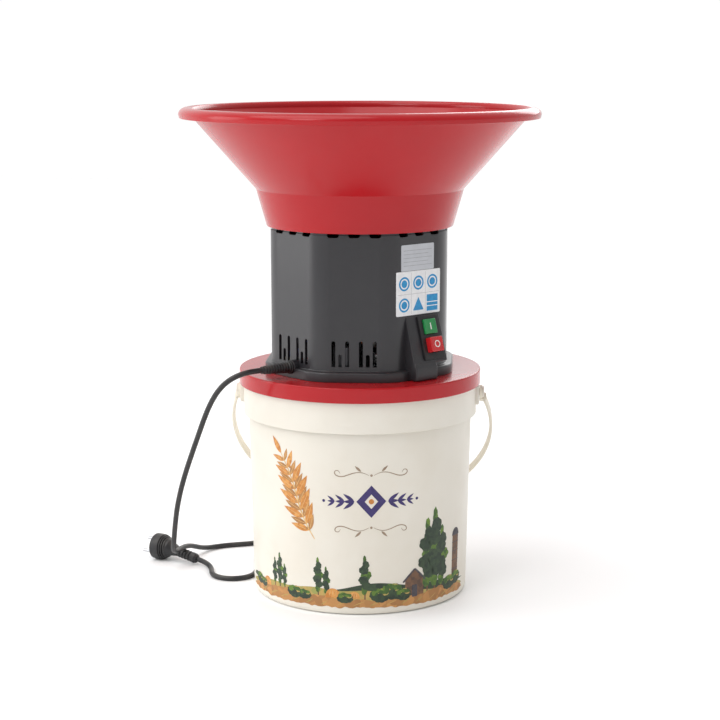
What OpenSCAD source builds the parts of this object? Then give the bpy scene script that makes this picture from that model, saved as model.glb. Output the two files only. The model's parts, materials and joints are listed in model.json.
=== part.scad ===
// Electric grain mill: a motor in an eight-sided housing stands on the lid of a bucket,
// with a wide feed hopper on top and a blade chamber with a sieve under the lid.
// Millimetres, +Z up, origin on the floor at the centre of the bucket.

/* [Bucket] */
// Outer radius of the wall at the floor
bucket_bottom_r = 141.5; // [115:0.5:170]
// Outer radius of the wall at the rim
bucket_top_r = 148; // [120:0.5:178]
// Height of the rim
bucket_h = 290; // [240:1:350]
// Wall and floor thickness
bucket_wall = 2.2; // [1.6:0.1:4]
// Radius of the bottom corner
bucket_corner_r = 8; // [4:0.5:14]
// Height of the raised floor above the foot ring
floor_rise = 3; // [2:0.5:6]
// Gap between the wall and the stiffening collar
collar_gap = 3.6; // [2:0.1:8]
// Thickness of the collar and of its web
collar_t = 2; // [1.5:0.1:4]
// Height of the collar
collar_h = 46; // [30:1:60]
// Height of the bare rim above the collar
rim_stand = 6; // [4:0.5:10]

/* [Bail] */
// Thickness of the hoop in its own plane
bail_t = 4; // [3:0.5:6]
// Width of the hoop
bail_w = 11; // [8:0.5:16]
// Distance of the hoop's centre from the pivot axis
bail_reach = 68; // [50:1:90]
// Height of the pivots below the rim
pivot_drop = 25; // [18:0.5:35]
// Radius of the pivot studs
stud_r = 5; // [3:0.25:7]
// Width of the ears
ear_w = 34; // [24:1:50]
// Thickness of the ears
ear_t = 4; // [2:0.5:8]

/* [Lid] */
// Depth of the skirt
lid_skirt_h = 16.5; // [10:0.5:24]
// Thickness of the lid's plate
lid_t = 3; // [2:0.1:5]
// Thickness of the skirt
lid_skirt_t = 2.5; // [1.5:0.1:4]
// Gap between the skirt and the collar
lid_play = 2.9; // [1:0.1:5]
// Thickness of the seal under the lid
gasket_t = 4.2; // [2:0.1:6]

/* [Housing] */
// Half the distance across two opposite faces
house_half = 113.4; // [104:0.2:135]
// Radius of the rounded corners
house_fillet = 42; // [20:1:50]
// Height of the housing above the lid
house_h = 192.5; // [170:0.5:240]
// Wall thickness
house_wall = 3; // [2:0.1:5]
// How far the foot stands out
foot_out = 8.2; // [3:0.1:12]
// Height of the foot
foot_h = 12.5; // [8:0.5:20]
// Width of a top vent
vent_w = 14.6; // [8:0.2:18]
// Distance between top vents
vent_pitch = 26.4; // [20:0.2:27]
// Width of a bottom vent slot
slot_w = 5; // [3:0.25:6]
// Distance between bottom slots
slot_pitch = 8.7; // [7:0.1:9.5]
// Distance between the two groups of bottom slots
slot_group = 34.7; // [31:0.1:38]
// Height of the long bottom slots
slot_long = 33; // [24:1:44]
// Height of the short bottom slots
slot_short = 16; // [10:1:22]

/* [Console] */
// Width of the switch console
console_w = 57; // [48:1:62]
// Sideways shift of the console on its face
console_shift = 5; // [0:0.5:6]
// How far the console stands out at its lower edge
console_out = 18.7; // [14:0.1:26]
// How far the console stands out at its top
console_top_out = 0.9; // [0.5:0.1:4]
// Height of the console's lower edge above the lid
console_low = 21.5; // [16:0.5:28]
// Height of the console's top above the lid
console_high = 80.5; // [76:0.5:100]
// Width of the chin below the console
chin_w = 37; // [24:0.5:44]
// How far the chin stands out
chin_out = 21.6; // [18:0.1:28]
// Height of the chin's front
chin_h = 16.5; // [10:0.5:20]
// Width of the switch frame
frame_w = 34; // [30:0.5:40]
// Length of the switch frame along the slope
frame_l = 57; // [50:0.5:60]
// How far the frame stands proud
frame_t = 3; // [2:0.25:5]
// Width of the buttons
button_w = 20.5; // [16:0.5:24]
// Length of the start button
start_l = 19.5; // [16:0.5:22]
// Length of the stop button
stop_l = 19; // [16:0.5:22]
// How far the start button stands above the frame
start_out = 3; // [2:0.25:6]
// How far the stop button stands above the frame
stop_out = 9; // [5:0.25:12]
// Travel of both buttons
button_travel = 2.5; // [1.5:0.1:4]

/* [Hopper] */
// Outer radius of the hopper's rim
hopper_r = 233.4; // [200:0.2:280]
// Radius of the hopper's mouth inside the rim
mouth_r = 216; // [180:0.5:260]
// Height of the hopper above its floor seat
hopper_h = 147; // [120:0.5:180]
// Height of the turned down lip
lip_h = 13.7; // [8:0.1:24]
// Wall thickness
hopper_t = 2.8; // [2:0.1:4]
// Outer radius where the steep neck meets the wide cone
flare_r = 135; // [125:0.5:150]
// Height of that line above the floor seat
flare_h = 42.5; // [30:0.5:60]
// Thickness of the neck's collar round the housing
neck_t = 2.4; // [1.8:0.1:3]
// Play between the collar and the housing's corners
neck_play = 0.9; // [0.4:0.1:3]
// How far the collar reaches down over the housing
neck_drop = 5.5; // [4:0.5:8]

/* [Feed] */
// Inner radius of the feed tube
feed_r = 14; // [10:0.5:15]
// Wall of the feed tube
feed_wall = 1.5; // [1:0.1:3]
// Distance of the feed tube from the middle
feed_off = 62; // [58:0.5:66]
// Thickness of the shutter
shutter_t = 2; // [1:0.25:4]
// Distance from the shutter's pivot to the feed hole
shutter_arm = 38; // [34:0.5:44]

/* [Motor] */
// Outer radius of the stator
stator_r = 42; // [38:0.5:43]
// Height of the iron
iron_h = 50; // [40:1:60]
// Outer radius of the armature
armature_r = 20.5; // [16:0.25:24]
// Air gap between armature and poles
air_gap = 0.6; // [0.3:0.05:1]
// Radius of the motor shaft
shaft_r = 6; // [4:0.25:7]
// Radius of the shaft in the upper bearing
shaft_top_r = 4; // [3:0.25:4.5]
// Outer radius of the lower bearing
low_bearing_r = 16; // [14:0.5:18]
// Width of the lower bearing
low_bearing_w = 10; // [7:0.5:12]
// Outer radius of the upper bearing
top_bearing_r = 11; // [10:0.5:13]
// Width of the upper bearing
top_bearing_w = 7; // [6:0.5:9]
// Radius of the commutator
commutator_r = 14; // [11:0.5:16]
// Radius of the cooling fan
fan_r = 37; // [30:0.5:40]

/* [Mill] */
// Outer radius of the sieve
sieve_r = 80; // [60:1:90]
// Thickness of the sieve sheet
sieve_t = 1; // [0.8:0.1:2]
// Depth of the blade chamber below the lid
chamber_depth = 50; // [40:1:60]
// Radius of a sieve hole
hole_r = 2.25; // [1.5:0.25:3]
// Running gap between the blade tips and the sieve
blade_play = 8; // [4:0.5:20]
// Width of the blades
blade_w = 20; // [14:1:28]
// Thickness of the blades
blade_t = 3; // [2:0.25:4]
// Radius of the clamping studs
tie_r = 3; // [2:0.25:4]

/* [Cord] */
// Diameter of the mains lead
cord_d = 7; // [6:0.25:8]
// Mean radius of the put away coil
coil_mean_r = 36.5; // [34:0.25:42]
// Radius of the ribbed sleeve at the housing
sleeve_r = 7.5; // [6:0.25:9]
// Length of the ribbed sleeve
sleeve_l = 43; // [30:1:55]

/* [Hidden] */
$fn = 64;

// Clearances: between pieces that move past each other, and in a running fit
gap = 0.3;
fit = 0.05;
// A cut runs this far past the surface that it opens
past = 1;

// Heights from the floor up
collar_top = bucket_h - rim_stand;
collar_low = collar_top - collar_h;
pivot_z = bucket_h - pivot_drop;
lid_under = bucket_h + gap + gasket_t;
lid_top = lid_under + lid_t;
house_top = lid_top + house_h;
floor_t = 3;

// Bucket, lid and bail radii that follow one another
function wall_r(z) = bucket_bottom_r + (bucket_top_r - bucket_bottom_r) * z / bucket_h;
collar_r = wall_r(collar_top) + collar_gap + collar_t;
lid_r = collar_r + lid_play + lid_skirt_t;
ear_x = collar_r + ear_t;
stud_head_t = 2;
stud_head_r = stud_r + 2.5;
pivot_x = ear_x + gap + bail_t / 2;
bail_centre = bail_reach;
bail_r = norm([pivot_x, bail_centre]);
bail_len = bail_centre + bail_r;
// The hoop leans on the wall of the bucket: a first guess of the lean gives the height of the touch
lean_guess = asin(bucket_top_r / bail_len);
touch_r = wall_r(pivot_z - bail_len * cos(lean_guess));
bail_lean = asin((touch_r + gap + bail_w / 2) / bail_len);

// Housing: eight faces, the switch is on the face that looks to the right front
faces = 8;
console_face = -45;
cord_face = -135;
spigot_in = 1.2;
spigot_h = 8;
post_r = 7;
post_ring = (house_half - house_fillet) / cos(180 / faces) + house_fillet - house_wall - post_r + 1;
post_turn = 180 / faces;
screw_r = 2;
boss_r = 9;
shank_r = 5;
skin_t = 0.3;
frame_lap = 2;
neck_r = (house_half - spigot_in - house_fillet) / cos(180 / faces) + house_fillet + neck_play + neck_t;

// Console slope: the frame and both buttons share this plane
console_tilt = atan((console_out - console_top_out) / (console_high - console_low));
slope_l = (console_high - console_low) / cos(console_tilt);
switch_shift = console_shift + 5.5;
switch_mid = slope_l - frame_l / 2 - 1;
button_gap = 4.5;
button_play = 0.4;
button_top = switch_mid + 2 + (start_l + stop_l + button_gap) / 2;
start_mid = button_top - start_l / 2;
stop_mid = button_top - start_l - button_gap - stop_l / 2;
switch_depth = 30;

// Feed tube behind and to the left of the motor
feed_turn = 135;
feed_x = feed_off * cos(feed_turn);
feed_y = feed_off * sin(feed_turn);
// The shutter turns on a screw beside the feed hole
shutter_turn = 60;
shutter_x = feed_x + shutter_arm * cos(shutter_turn);
shutter_y = feed_y + shutter_arm * sin(shutter_turn);
shutter_z = house_top + floor_t + gap;
pivot_r = 2.5;
feed_flange_r = feed_r + feed_wall + 3;

// Motor heights, stacked on the plate
plate_t = 2.5;
plate_r = 74;
plate_screw_ring = 62;
seal_r = 14;
plate_top = lid_top + plate_t;
low_bearing_z = plate_top + 3;
bell_h = 16;
fan_z = plate_top + bell_h + 2.5;
fan_h = 9;
coil_end_h = 11;
iron_z = fan_z + fan_h + 2 + coil_end_h;
iron_top = iron_z + iron_h;
commutator_z = iron_top + coil_end_h + 3;
commutator_h = 20;
top_plate_z = commutator_z + commutator_h + 4;
top_bearing_z = top_plate_z + 2;
leg_ring = stator_r + 4;
leg_r = 4.5;
bolt_r = 2;
legs = 4;
bracket_t = 4;
top_hub_r = top_bearing_r + 4;
low_hub_r = low_bearing_r + 4;

// Chamber heights, hung below the lid
sieve_low = lid_under - chamber_depth;
bottom_t = 2.5;
tie_ring = sieve_r + 10;
ties = 3;
tie_turn = 60;
blade_z = sieve_low + 16;
blade_r = sieve_r - blade_play;
spacer_r = 9;
nut_h = 9;
shaft_low = blade_z - nut_h - 3;

// Gland of the cord: a point on the foot of its face, and the way that the sleeve points
sleeve_shift = 4;
sleeve_z = lid_top + 13.5;
sleeve_turn = -142.3;
sleeve_in = 14;
sleeve_start = [
    (house_half + foot_out) * cos(cord_face) - sleeve_shift * sin(cord_face),
    (house_half + foot_out) * sin(cord_face) + sleeve_shift * cos(cord_face),
    sleeve_z
];
sleeve_way = [cos(sleeve_turn), sin(sleeve_turn), 0];
sleeve_tip = sleeve_start + sleeve_l * sleeve_way;

// The lead hangs from the sleeve, lies along the floor and goes behind the bucket
cord_r = cord_d / 2;
// Lengths of cord that follow each other stop short of each other by this much
end_gap = 0.25;
lead_points = concat([sleeve_tip, sleeve_tip + 17 * sleeve_way], [
    [-147, -134, 307], [-162, -134, 297], [-175, -125, 281], [-188, -108, 257], [-200, -89, 228],
    [-213, -69, 196], [-226, -51, 163], [-237, -33, 131], [-245, -17, 101], [-250, -4, 74], [-254, 8, 49],
    [-258, 26, 32], [-258, 50, 24.5], [-252, 74, 25], [-245, 96, 20.5], [-239, 116, 12.5],
    [-231, 136, 5.5], [-218, 151, 3.5], [-200, 161, 3.5], [-180, 167, 3.5], [-160, 175, 3.5],
    [-149, 190, 3.5], [-143, 206, 3.5]
]);

// The coil starts where the lead ends: two layers, wound in and out again
coil_pitch = cord_d + 0.5;
coil_step = 15;
coil_way = unit(lead_points[len(lead_points) - 1] - lead_points[len(lead_points) - 2]);
coil_from = lead_points[len(lead_points) - 1] + cord_d * coil_way;
coil_angle = atan2(coil_way[1], coil_way[0]) + 90;
coil_turn = coil_angle + 90 + 720;
coil_outer_r = coil_mean_r + coil_pitch * coil_turn / 4 / 360;
coil_centre = [
    coil_from[0] + coil_outer_r * coil_way[1],
    coil_from[1] - coil_outer_r * coil_way[0],
    cord_r
];
coil_steps = ceil(coil_turn / coil_step);
coil_round = [for (i = [0:coil_steps]) coil_point(i * coil_turn / coil_steps)];
coil_end = coil_round[coil_steps] - [cord_d, 0, 0];
coil_path = concat([coil_from - (cord_d - end_gap) * coil_way], coil_round, [coil_end + [end_gap, 0, 0]]);

// The tail runs from the coil round the bucket's foot to the plug
tail_points = concat([coil_end, coil_end - [9, 0, 0]], [
    [-129, 153.5, 10.5], [-140, 146, 9], [-148, 134, 7], [-152, 119, 5], [-151.5, 103, 4],
    [-149.5, 86, 3.5], [-147.2, 68, 3.5], [-145.4, 52, 3.5], [-144.6, 39, 3.5], [-145, 27, 3.5],
    [-147.4, 15.4, 3.5], [-153.5, 5.5, 3.5], [-163, -1.2, 3.5], [-174.2, -3.7, 3.5], [-185.5, -1.9, 3.5],
    [-195.2, 4, 3.5], [-201.7, 13, 3.5], [-205, 23.5, 3.5], [-206.6, 33.5, 3.5], [-208.6, 43, 3.6],
    [-211.7, 51.5, 4.2], [-216.7, 59, 5.5], [-223.6, 65, 6.8], [-231.5, 69, 8.5]
]);
lead_path = spline(lead_points, 3);
tail_path = spline(tail_points, 3);

// Plug: the head lies on its rim and the flexible neck sags down to the tail
plug_r = 18;
plug_head_l = 22;
plug_turn = 153;
plug_roll = 37;
plug_face = [-295, 101, plug_r];
plug_root = plug_face - plug_head_l * [cos(plug_turn), sin(plug_turn), 0];
neck_end = tail_points[len(tail_points) - 1];
pin_r = 2.4;
pin_l = 19;
pin_seat = 6;
pin_pitch = 19;
strip_w = 6;
strip_l = 12;

// Points and curves
function unit(v) = v / norm(v);
function arc(centre, r, from, to, steps) =
    [for (i = [0:steps]) let (a = from + (to - from) * i / steps) centre + r * [cos(a), sin(a)]];
// A smooth curve that follows its points: it starts and ends in the first and last one
function spline(points, cuts) =
    let (
        n = len(points),
        all = concat([2 * points[0] - points[1]], points, [2 * points[n - 1] - points[n - 2]])
    )
    concat([for (i = [0:n - 2]) for (k = [0:cuts - 1]) bend(all, i, k / cuts)], [points[n - 1]]);
function bend(p, i, t) = (pow(1 - t, 3) * p[i] + (3 * pow(t, 3) - 6 * t * t + 4) * p[i + 1]
    + (-3 * pow(t, 3) + 3 * t * t + 3 * t + 1) * p[i + 2] + pow(t, 3) * p[i + 3]) / 6;
function path_length(path) = add([for (i = [1:len(path) - 1]) norm(path[i] - path[i - 1])]);
function add(list, i = 0) = i < len(list) ? list[i] + add(list, i + 1) : 0;
// A point of the coil: it spirals in, climbs a layer in the half turn of the reverse, spirals out
function coil_point(turned) =
    let (
        half = coil_turn / 2,
        r = coil_outer_r - coil_pitch * (half - abs(half - turned)) / 360,
        climb = min(1, max(0, (turned - half + 90) / 180)),
        a = coil_angle - turned
    )
    coil_centre + [r * cos(a), r * sin(a), coil_pitch * climb * climb * (3 - 2 * climb)];
// Outline of the housing, grown or shrunk by a distance: flats and rounded corners
function eight(grow) =
    let (r = house_fillet + grow, c = (house_half - house_fillet) / cos(180 / faces))
    [for (i = [0:faces - 1]) for (k = [-2:2])
        let (a = (i + 0.5) * 360 / faces, b = a + k * 90 / faces)
        [c * cos(a) + r * cos(b), c * sin(a) + r * sin(b)]];

// A round tube along a path, one ring for each point
module tube(path, r, sides) {
    n = len(path);
    way = [for (i = [0:n - 1]) unit(path[min(i + 1, n - 1)] - path[max(i - 1, 0)])];
    start = unit(cross(way[0], [0, 0, 1]));
    side = [
        for (i = 0, s = start; i < n; i = i + 1, s = i < n ? unit(s - (s * way[i]) * way[i]) : s) s
    ];
    rings = [
        for (i = [0:n - 1]) for (k = [0:sides - 1])
            path[i] + r * (cos(360 * k / sides) * side[i] + sin(360 * k / sides) * cross(side[i], way[i]))
    ];
    walls = [
        for (i = [0:n - 2]) for (k = [0:sides - 1])
            let (a = i * sides + k, b = i * sides + (k + 1) % sides)
            each [[a, b, b + sides], [a, b + sides, a + sides]]
    ];
    caps = [[for (k = [sides - 1:-1:0]) k], [for (k = [0:sides - 1]) (n - 1) * sides + k]];
    polyhedron(points = rings, faces = concat(walls, caps), convexity = 8);
}

module ring(outer, inner, h) {
    difference() {
        cylinder(r = outer, h = h);
        translate([0, 0, -past]) cylinder(r = inner, h = h + 2 * past);
    }
}

module around(count, r, turn = 0) {
    for (i = [0:count - 1]) rotate([0, 0, turn + i * 360 / count]) translate([r, 0, 0]) children();
}

// Stands on a face of the housing: X points out of the face, Y along it, Z up from the lid
module on_face(turn) {
    rotate([0, 0, turn]) translate([house_half, 0, lid_top]) children();
}

// Stands on the console's slope: X points out of it, Z runs up along it from the lower edge
module on_slope() {
    on_face(console_face) translate([console_out, switch_shift, console_low])
        rotate([0, -console_tilt, 0]) children();
}

module block(w, l, h) {
    translate([0, -w / 2, 0]) cube([h, w, l]);
}

module bucket_profile() {
    corner = arc([bucket_bottom_r - bucket_corner_r, bucket_corner_r], bucket_corner_r, -90, 0, 5);
    inner_r = bucket_corner_r - bucket_wall;
    inner_corner = arc([bucket_bottom_r - bucket_corner_r, bucket_corner_r], inner_r, 0, -60, 3);
    foot_in = bucket_bottom_r - bucket_corner_r - 6;
    polygon(concat(
        [[0, floor_rise], [foot_in - floor_rise, floor_rise], [foot_in, 0]],
        corner,
        [[bucket_top_r, bucket_h], [bucket_top_r - bucket_wall, bucket_h]],
        inner_corner,
        [[0, floor_rise + bucket_wall]]
    ));
}

module bucket() {
    web_in = wall_r(collar_top) - bucket_wall / 2;
    color([0.93, 0.91, 0.86]) {
        rotate_extrude($fn = 128) bucket_profile();
        rotate_extrude($fn = 128) polygon([
            [collar_r - collar_t, collar_low], [collar_r, collar_low], [collar_r, collar_top],
            [web_in, collar_top], [web_in, collar_top - collar_t],
            [collar_r - collar_t, collar_top - collar_t]
        ]);
        for (turn = [0, 180]) rotate([0, 0, turn]) ear();
    }
}

module ear() {
    ear_low = pivot_z - 15;
    translate([collar_r - collar_t, -ear_w / 2, ear_low])
        cube([ear_x - collar_r + collar_t, ear_w, lid_under - lid_skirt_h - 1 - ear_low]);
    translate([ear_x - past, 0, pivot_z]) rotate([0, 90, 0])
        cylinder(r = stud_r, h = past + 2 * gap + bail_t + past);
    translate([ear_x + 2 * gap + bail_t, 0, pivot_z]) rotate([0, 90, 0])
        cylinder(r = stud_head_r, h = stud_head_t);
}

module bail_handle() {
    eye_r = stud_r + 4;
    clear_r = stud_head_r + gap;
    end = 90 + atan2(bail_centre, pivot_x);
    link_end = 12;
    color([0.95, 0.93, 0.88]) translate([0, 0, pivot_z]) rotate([bail_lean - 90, 0, 0]) difference() {
        union() {
            translate([0, bail_centre, 0]) rotate([0, 0, 90 - end])
                rotate_extrude(angle = 2 * end, $fn = 128)
                    translate([bail_r - bail_t / 2, -bail_w / 2]) square([bail_t, bail_w]);
            for (s = [-1, 1]) {
                translate([s * pivot_x - bail_t / 2, 0, 0]) rotate([0, 90, 0])
                    cylinder(r = eye_r, h = bail_t);
                // The strap bows out, so a link leads from the flat eye out to it
                translate([s * (pivot_x + 2.6) - bail_t / 2 - 2.6, 0, -bail_w / 2])
                    cube([bail_t + 5.2, link_end, bail_w]);
            }
        }
        for (s = [-1, 1]) {
            translate([s * pivot_x - bail_t, 0, 0]) rotate([0, 90, 0])
                cylinder(r = stud_r + fit, h = 2 * bail_t);
            // Room for the stud head outside the eye, and for the ear inside it
            translate([s * (pivot_x + bail_t / 2 + 6) - 6, 0, 0]) rotate([0, 90, 0])
                cylinder(r = clear_r, h = 12);
            translate([s * (pivot_x + bail_t / 2 + 6) - 6, -20, -15]) cube([12, 20, 30]);
            translate([s * (pivot_x - bail_t / 2 - 6) - 6, -20, -15]) cube([12, 40, 30]);
        }
    }
}

module lid() {
    skirt_z = lid_under - lid_skirt_h;
    edge_r = 2;
    color([0.78, 0.15, 0.18]) difference() {
        rotate_extrude($fn = 128) polygon(concat(
            [[0, lid_under], [lid_r - lid_skirt_t, lid_under]],
            [[lid_r - lid_skirt_t, skirt_z], [lid_r, skirt_z]],
            arc([lid_r - edge_r, lid_top - edge_r], edge_r, 0, 90, 4),
            [[0, lid_top]]
        ));
        translate([0, 0, lid_under - past]) {
            cylinder(r = seal_r, h = lid_t + 2 * past);
            translate([feed_x, feed_y, 0]) cylinder(r = feed_r, h = lid_t + 2 * past);
            around(4, post_ring, post_turn) cylinder(r = screw_r, h = lid_t + 2 * past);
            around(4, plate_screw_ring) cylinder(r = bolt_r, h = lid_t + 2 * past);
            around(ties, tie_ring, tie_turn) cylinder(r = tie_r, h = lid_t + 2 * past);
        }
    }
}

module lid_gasket() {
    color([0.35, 0.35, 0.36]) translate([0, 0, lid_under - gasket_t])
        ring(bucket_top_r + 3, bucket_top_r - 6, gasket_t, $fn = 128);
}

// Arched slot and rounded tray, drawn from their lower edge up
function arch(w, h) = concat([[-w / 2, 0], [w / 2, 0]], arc([0, h - w / 2], w / 2, 0, 180, 6));
function tray(w, h, r) = concat(
    [[w / 2, h], [-w / 2, h]],
    arc([r - w / 2, r], r, 180, 270, 4), arc([w / 2 - r, r], r, 270, 360, 4)
);

module through(depth) {
    translate([-depth, 0, 0]) rotate([90, 0, 90]) linear_extrude(2 * depth) children();
}

module motor_housing() {
    screw_l = 15;
    color([0.13, 0.13, 0.14]) difference() {
        union() {
            translate([0, 0, lid_top]) {
                linear_extrude(house_h) polygon(eight(-spigot_in));
                linear_extrude(house_h - spigot_h) polygon(eight(0));
                linear_extrude(foot_h) polygon(eight(foot_out));
            }
            console_shape();
            on_face(cord_face) translate([-house_wall, sleeve_shift, sleeve_z - lid_top]) rotate([0, 90, 0])
                cylinder(r = boss_r, h = house_wall + foot_out);
        }
        difference() {
            translate([0, 0, lid_top - past]) linear_extrude(house_h + 2 * past)
                polygon(eight(-house_wall));
            around(4, post_ring, post_turn) translate([0, 0, lid_top - past])
                cylinder(r = post_r, h = house_h + 3 * past);
        }
        around(4, post_ring, post_turn) for (z = [lid_top - past, house_top - screw_l])
            translate([0, 0, z]) cylinder(r = screw_r, h = screw_l + past);
        for (i = [0:faces - 1]) on_face(i * 360 / faces) {
            for (k = [-1:1]) translate([0, k * vent_pitch, house_h - 11]) through(12)
                polygon(tray(vent_w, 8, 3));
            if (i * 360 / faces != console_face + 360) for (s = [-1, 1]) for (k = [-1:1])
                translate([0, s * slot_group / 2 + k * slot_pitch, 18.5]) through(4)
                    polygon(arch(slot_w, k == 0 ? slot_short : slot_long));
        }
        on_slope() translate([-60, -frame_w / 2 + frame_lap, switch_mid - frame_l / 2 + frame_lap])
            cube([60 + past, frame_w - 2 * frame_lap, frame_l - 2 * frame_lap]);
        on_face(cord_face) translate([-30, sleeve_shift, sleeve_z - lid_top]) rotate([0, 90, 0])
            cylinder(r = shank_r, h = 60);
    }
}

// The wedge that carries the switch, and the chin below it
module console_shape() {
    in = -house_wall + 0.5;
    on_face(console_face) {
        translate([0, console_shift + console_w / 2, 0]) rotate([90, 0, 0]) linear_extrude(console_w)
            polygon([
                [in, console_low], [console_out, console_low], [console_top_out, console_high],
                [in, console_high]
            ]);
        translate([0, console_shift - console_w / 2 + chin_w, 0]) rotate([90, 0, 0]) linear_extrude(chin_w)
            polygon([
                [in, 0], [chin_out, 0], [chin_out, chin_h], [console_out, console_low],
                [console_out - 4, console_low + past], [in, console_low + past]
            ]);
    }
}

// Offset of the corner b of the line a b c to its left
function inset(a, b, c, t) =
    let (u = unit(b - a), v = unit(c - b), m = [-u[1], u[0]], n = [-v[1], v[0]])
    b + t * (m + n) / (1 + m * n);

module hopper() {
    neck_low = [neck_r, -neck_drop];
    flare = [flare_r, flare_h];
    mouth_low = [mouth_r + hopper_t, hopper_h - 9.6];
    mouth_top = [mouth_r + hopper_t, hopper_h - hopper_t];
    flare_in = inset(neck_low, flare, mouth_low, hopper_t);
    mouth_in = inset(flare, mouth_low, mouth_top, hopper_t);
    slope = (flare_r - neck_r) / (flare_h + neck_drop);
    floor_in = flare_in[0] - slope * (flare_in[1] - floor_t);
    edge_r = 6.5;
    color([0.78, 0.15, 0.18]) translate([0, 0, house_top]) difference() {
        rotate_extrude($fn = 160) polygon(concat(
            [[0, 0], [neck_r - neck_t, 0], [neck_r - neck_t, -neck_drop]],
            [neck_low, flare, mouth_low, mouth_top],
            arc([hopper_r - hopper_t - 3, hopper_h - hopper_t - 3], 3, 90, 0, 3),
            [[hopper_r - hopper_t, hopper_h - lip_h], [hopper_r, hopper_h - lip_h]],
            arc([hopper_r - edge_r, hopper_h - edge_r], edge_r, 0, 90, 6),
            arc([mouth_r + 2, hopper_h - 2], 2, 90, 180, 3),
            [mouth_in, flare_in, [floor_in, floor_t], [0, floor_t]]
        ));
        translate([0, 0, -past]) {
            translate([feed_x, feed_y, 0]) cylinder(r = feed_r, h = floor_t + 2 * past);
            translate([shutter_x, shutter_y, 0]) cylinder(r = pivot_r, h = floor_t + 2 * past);
            around(4, post_ring, post_turn) cylinder(r = screw_r, h = floor_t + 2 * past);
        }
    }
}

module feed_tube() {
    flange_t = 2;
    color([0.13, 0.13, 0.14]) translate([feed_x, feed_y, 0]) {
        translate([0, 0, lid_top]) ring(feed_r + feed_wall, feed_r, house_h);
        for (z = [lid_top, house_top - flange_t]) translate([0, 0, z])
            ring(feed_flange_r, feed_r, flange_t);
    }
}

// A pan head screw that points down from z = 0
module screw(r, l, head_r, head_h) {
    translate([0, 0, -l]) cylinder(r = r, h = l + head_h / 2);
    difference() {
        rotate_extrude()
            polygon(concat([[0, 0], [head_r, 0]], arc([head_r - 1, head_h - 1], 1, 0, 90, 3), [[0, head_h]]));
        translate([0, 0, head_h]) cube([2 * head_r - 2, 0.8, 1.2], center = true);
        translate([0, 0, head_h]) cube([0.8, 2 * head_r - 2, 1.2], center = true);
    }
}

module hopper_screws() {
    color([0.6, 0.6, 0.62]) translate([0, 0, house_top + floor_t]) around(4, post_ring, post_turn)
        screw(screw_r, 15, 4, 2.4);
}

module lid_screws() {
    color([0.6, 0.6, 0.62]) translate([0, 0, lid_under]) around(4, post_ring, post_turn)
        rotate([180, 0, 0]) screw(screw_r, 15, 4, 2.4);
}

module shutter_screw() {
    head_z = shutter_z + shutter_t + gap / 2;
    color([0.6, 0.6, 0.62]) translate([shutter_x, shutter_y, 0]) {
        translate([0, 0, head_z]) screw(pivot_r, head_z - house_top + 5, 5.5, 3);
        translate([0, 0, house_top - 3.2]) cylinder(r = 4.6, h = 3.2, $fn = 6);
    }
}

module feed_shutter() {
    cover_r = feed_r + 4;
    color([0.75, 0.75, 0.77]) translate([shutter_x, shutter_y, shutter_z]) rotate([0, 0, shutter_turn + 180])
        difference() {
            union() {
                translate([shutter_arm, 0, 0]) cylinder(r = cover_r, h = shutter_t);
                translate([0, -7, 0]) cube([shutter_arm, 14, shutter_t]);
                cylinder(r = 8, h = shutter_t);
            }
            translate([0, 0, -past]) cylinder(r = pivot_r + fit, h = shutter_t + 2 * past);
        }
}

module shutter_knob() {
    color([0.13, 0.13, 0.14]) translate([feed_x, feed_y, shutter_z + shutter_t]) rotate_extrude()
        polygon(concat([[0, 0], [5, 0], [5, 4], [7, 7]], arc([4, 12], 3, 0, 90, 4), [[0, 15]]));
}

// Outline shared by the stator and both brackets: a disc with an ear at each bolt
module ears_outline(r, ear_r) {
    circle(r = r);
    around(legs, leg_ring) circle(r = ear_r);
}

module bolt_holes(h) {
    around(legs, leg_ring) cylinder(r = bolt_r, h = h);
}

module motor_plate() {
    color([0.66, 0.66, 0.68]) translate([0, 0, lid_top]) difference() {
        cylinder(r = plate_r, h = plate_t);
        translate([0, 0, -past]) {
            cylinder(r = seal_r, h = plate_t + 2 * past);
            around(4, plate_screw_ring) cylinder(r = bolt_r, h = plate_t + 2 * past);
            translate([feed_x, feed_y, 0]) cylinder(r = feed_flange_r + 2, h = plate_t + 2 * past);
            bolt_holes(plate_t + 2 * past);
        }
    }
}

module motor_plate_screws() {
    color([0.6, 0.6, 0.62]) around(4, plate_screw_ring) {
        translate([0, 0, plate_top]) screw(bolt_r, plate_t + lid_t + 5, 4, 2.4);
        translate([0, 0, lid_under - 3.2]) cylinder(r = 4, h = 3.2, $fn = 6);
    }
}

module lower_bracket() {
    color([0.7, 0.71, 0.73]) difference() {
        translate([0, 0, plate_top]) {
            linear_extrude(bracket_t) ears_outline(stator_r + 1, leg_r + 2);
            cylinder(r = low_hub_r, h = bell_h);
            around(legs, leg_ring) cylinder(r = leg_r, h = iron_z - plate_top);
        }
        translate([0, 0, low_bearing_z]) cylinder(r = low_bearing_r, h = bell_h);
        translate([0, 0, plate_top - past]) cylinder(r = low_bearing_r - 3.5, h = bell_h);
        translate([0, 0, plate_top - past]) bolt_holes(iron_z);
        around(4, leg_ring - 17, 45) translate([0, 0, plate_top - past])
            cylinder(r = 5, h = bracket_t + 2 * past);
    }
}

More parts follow.
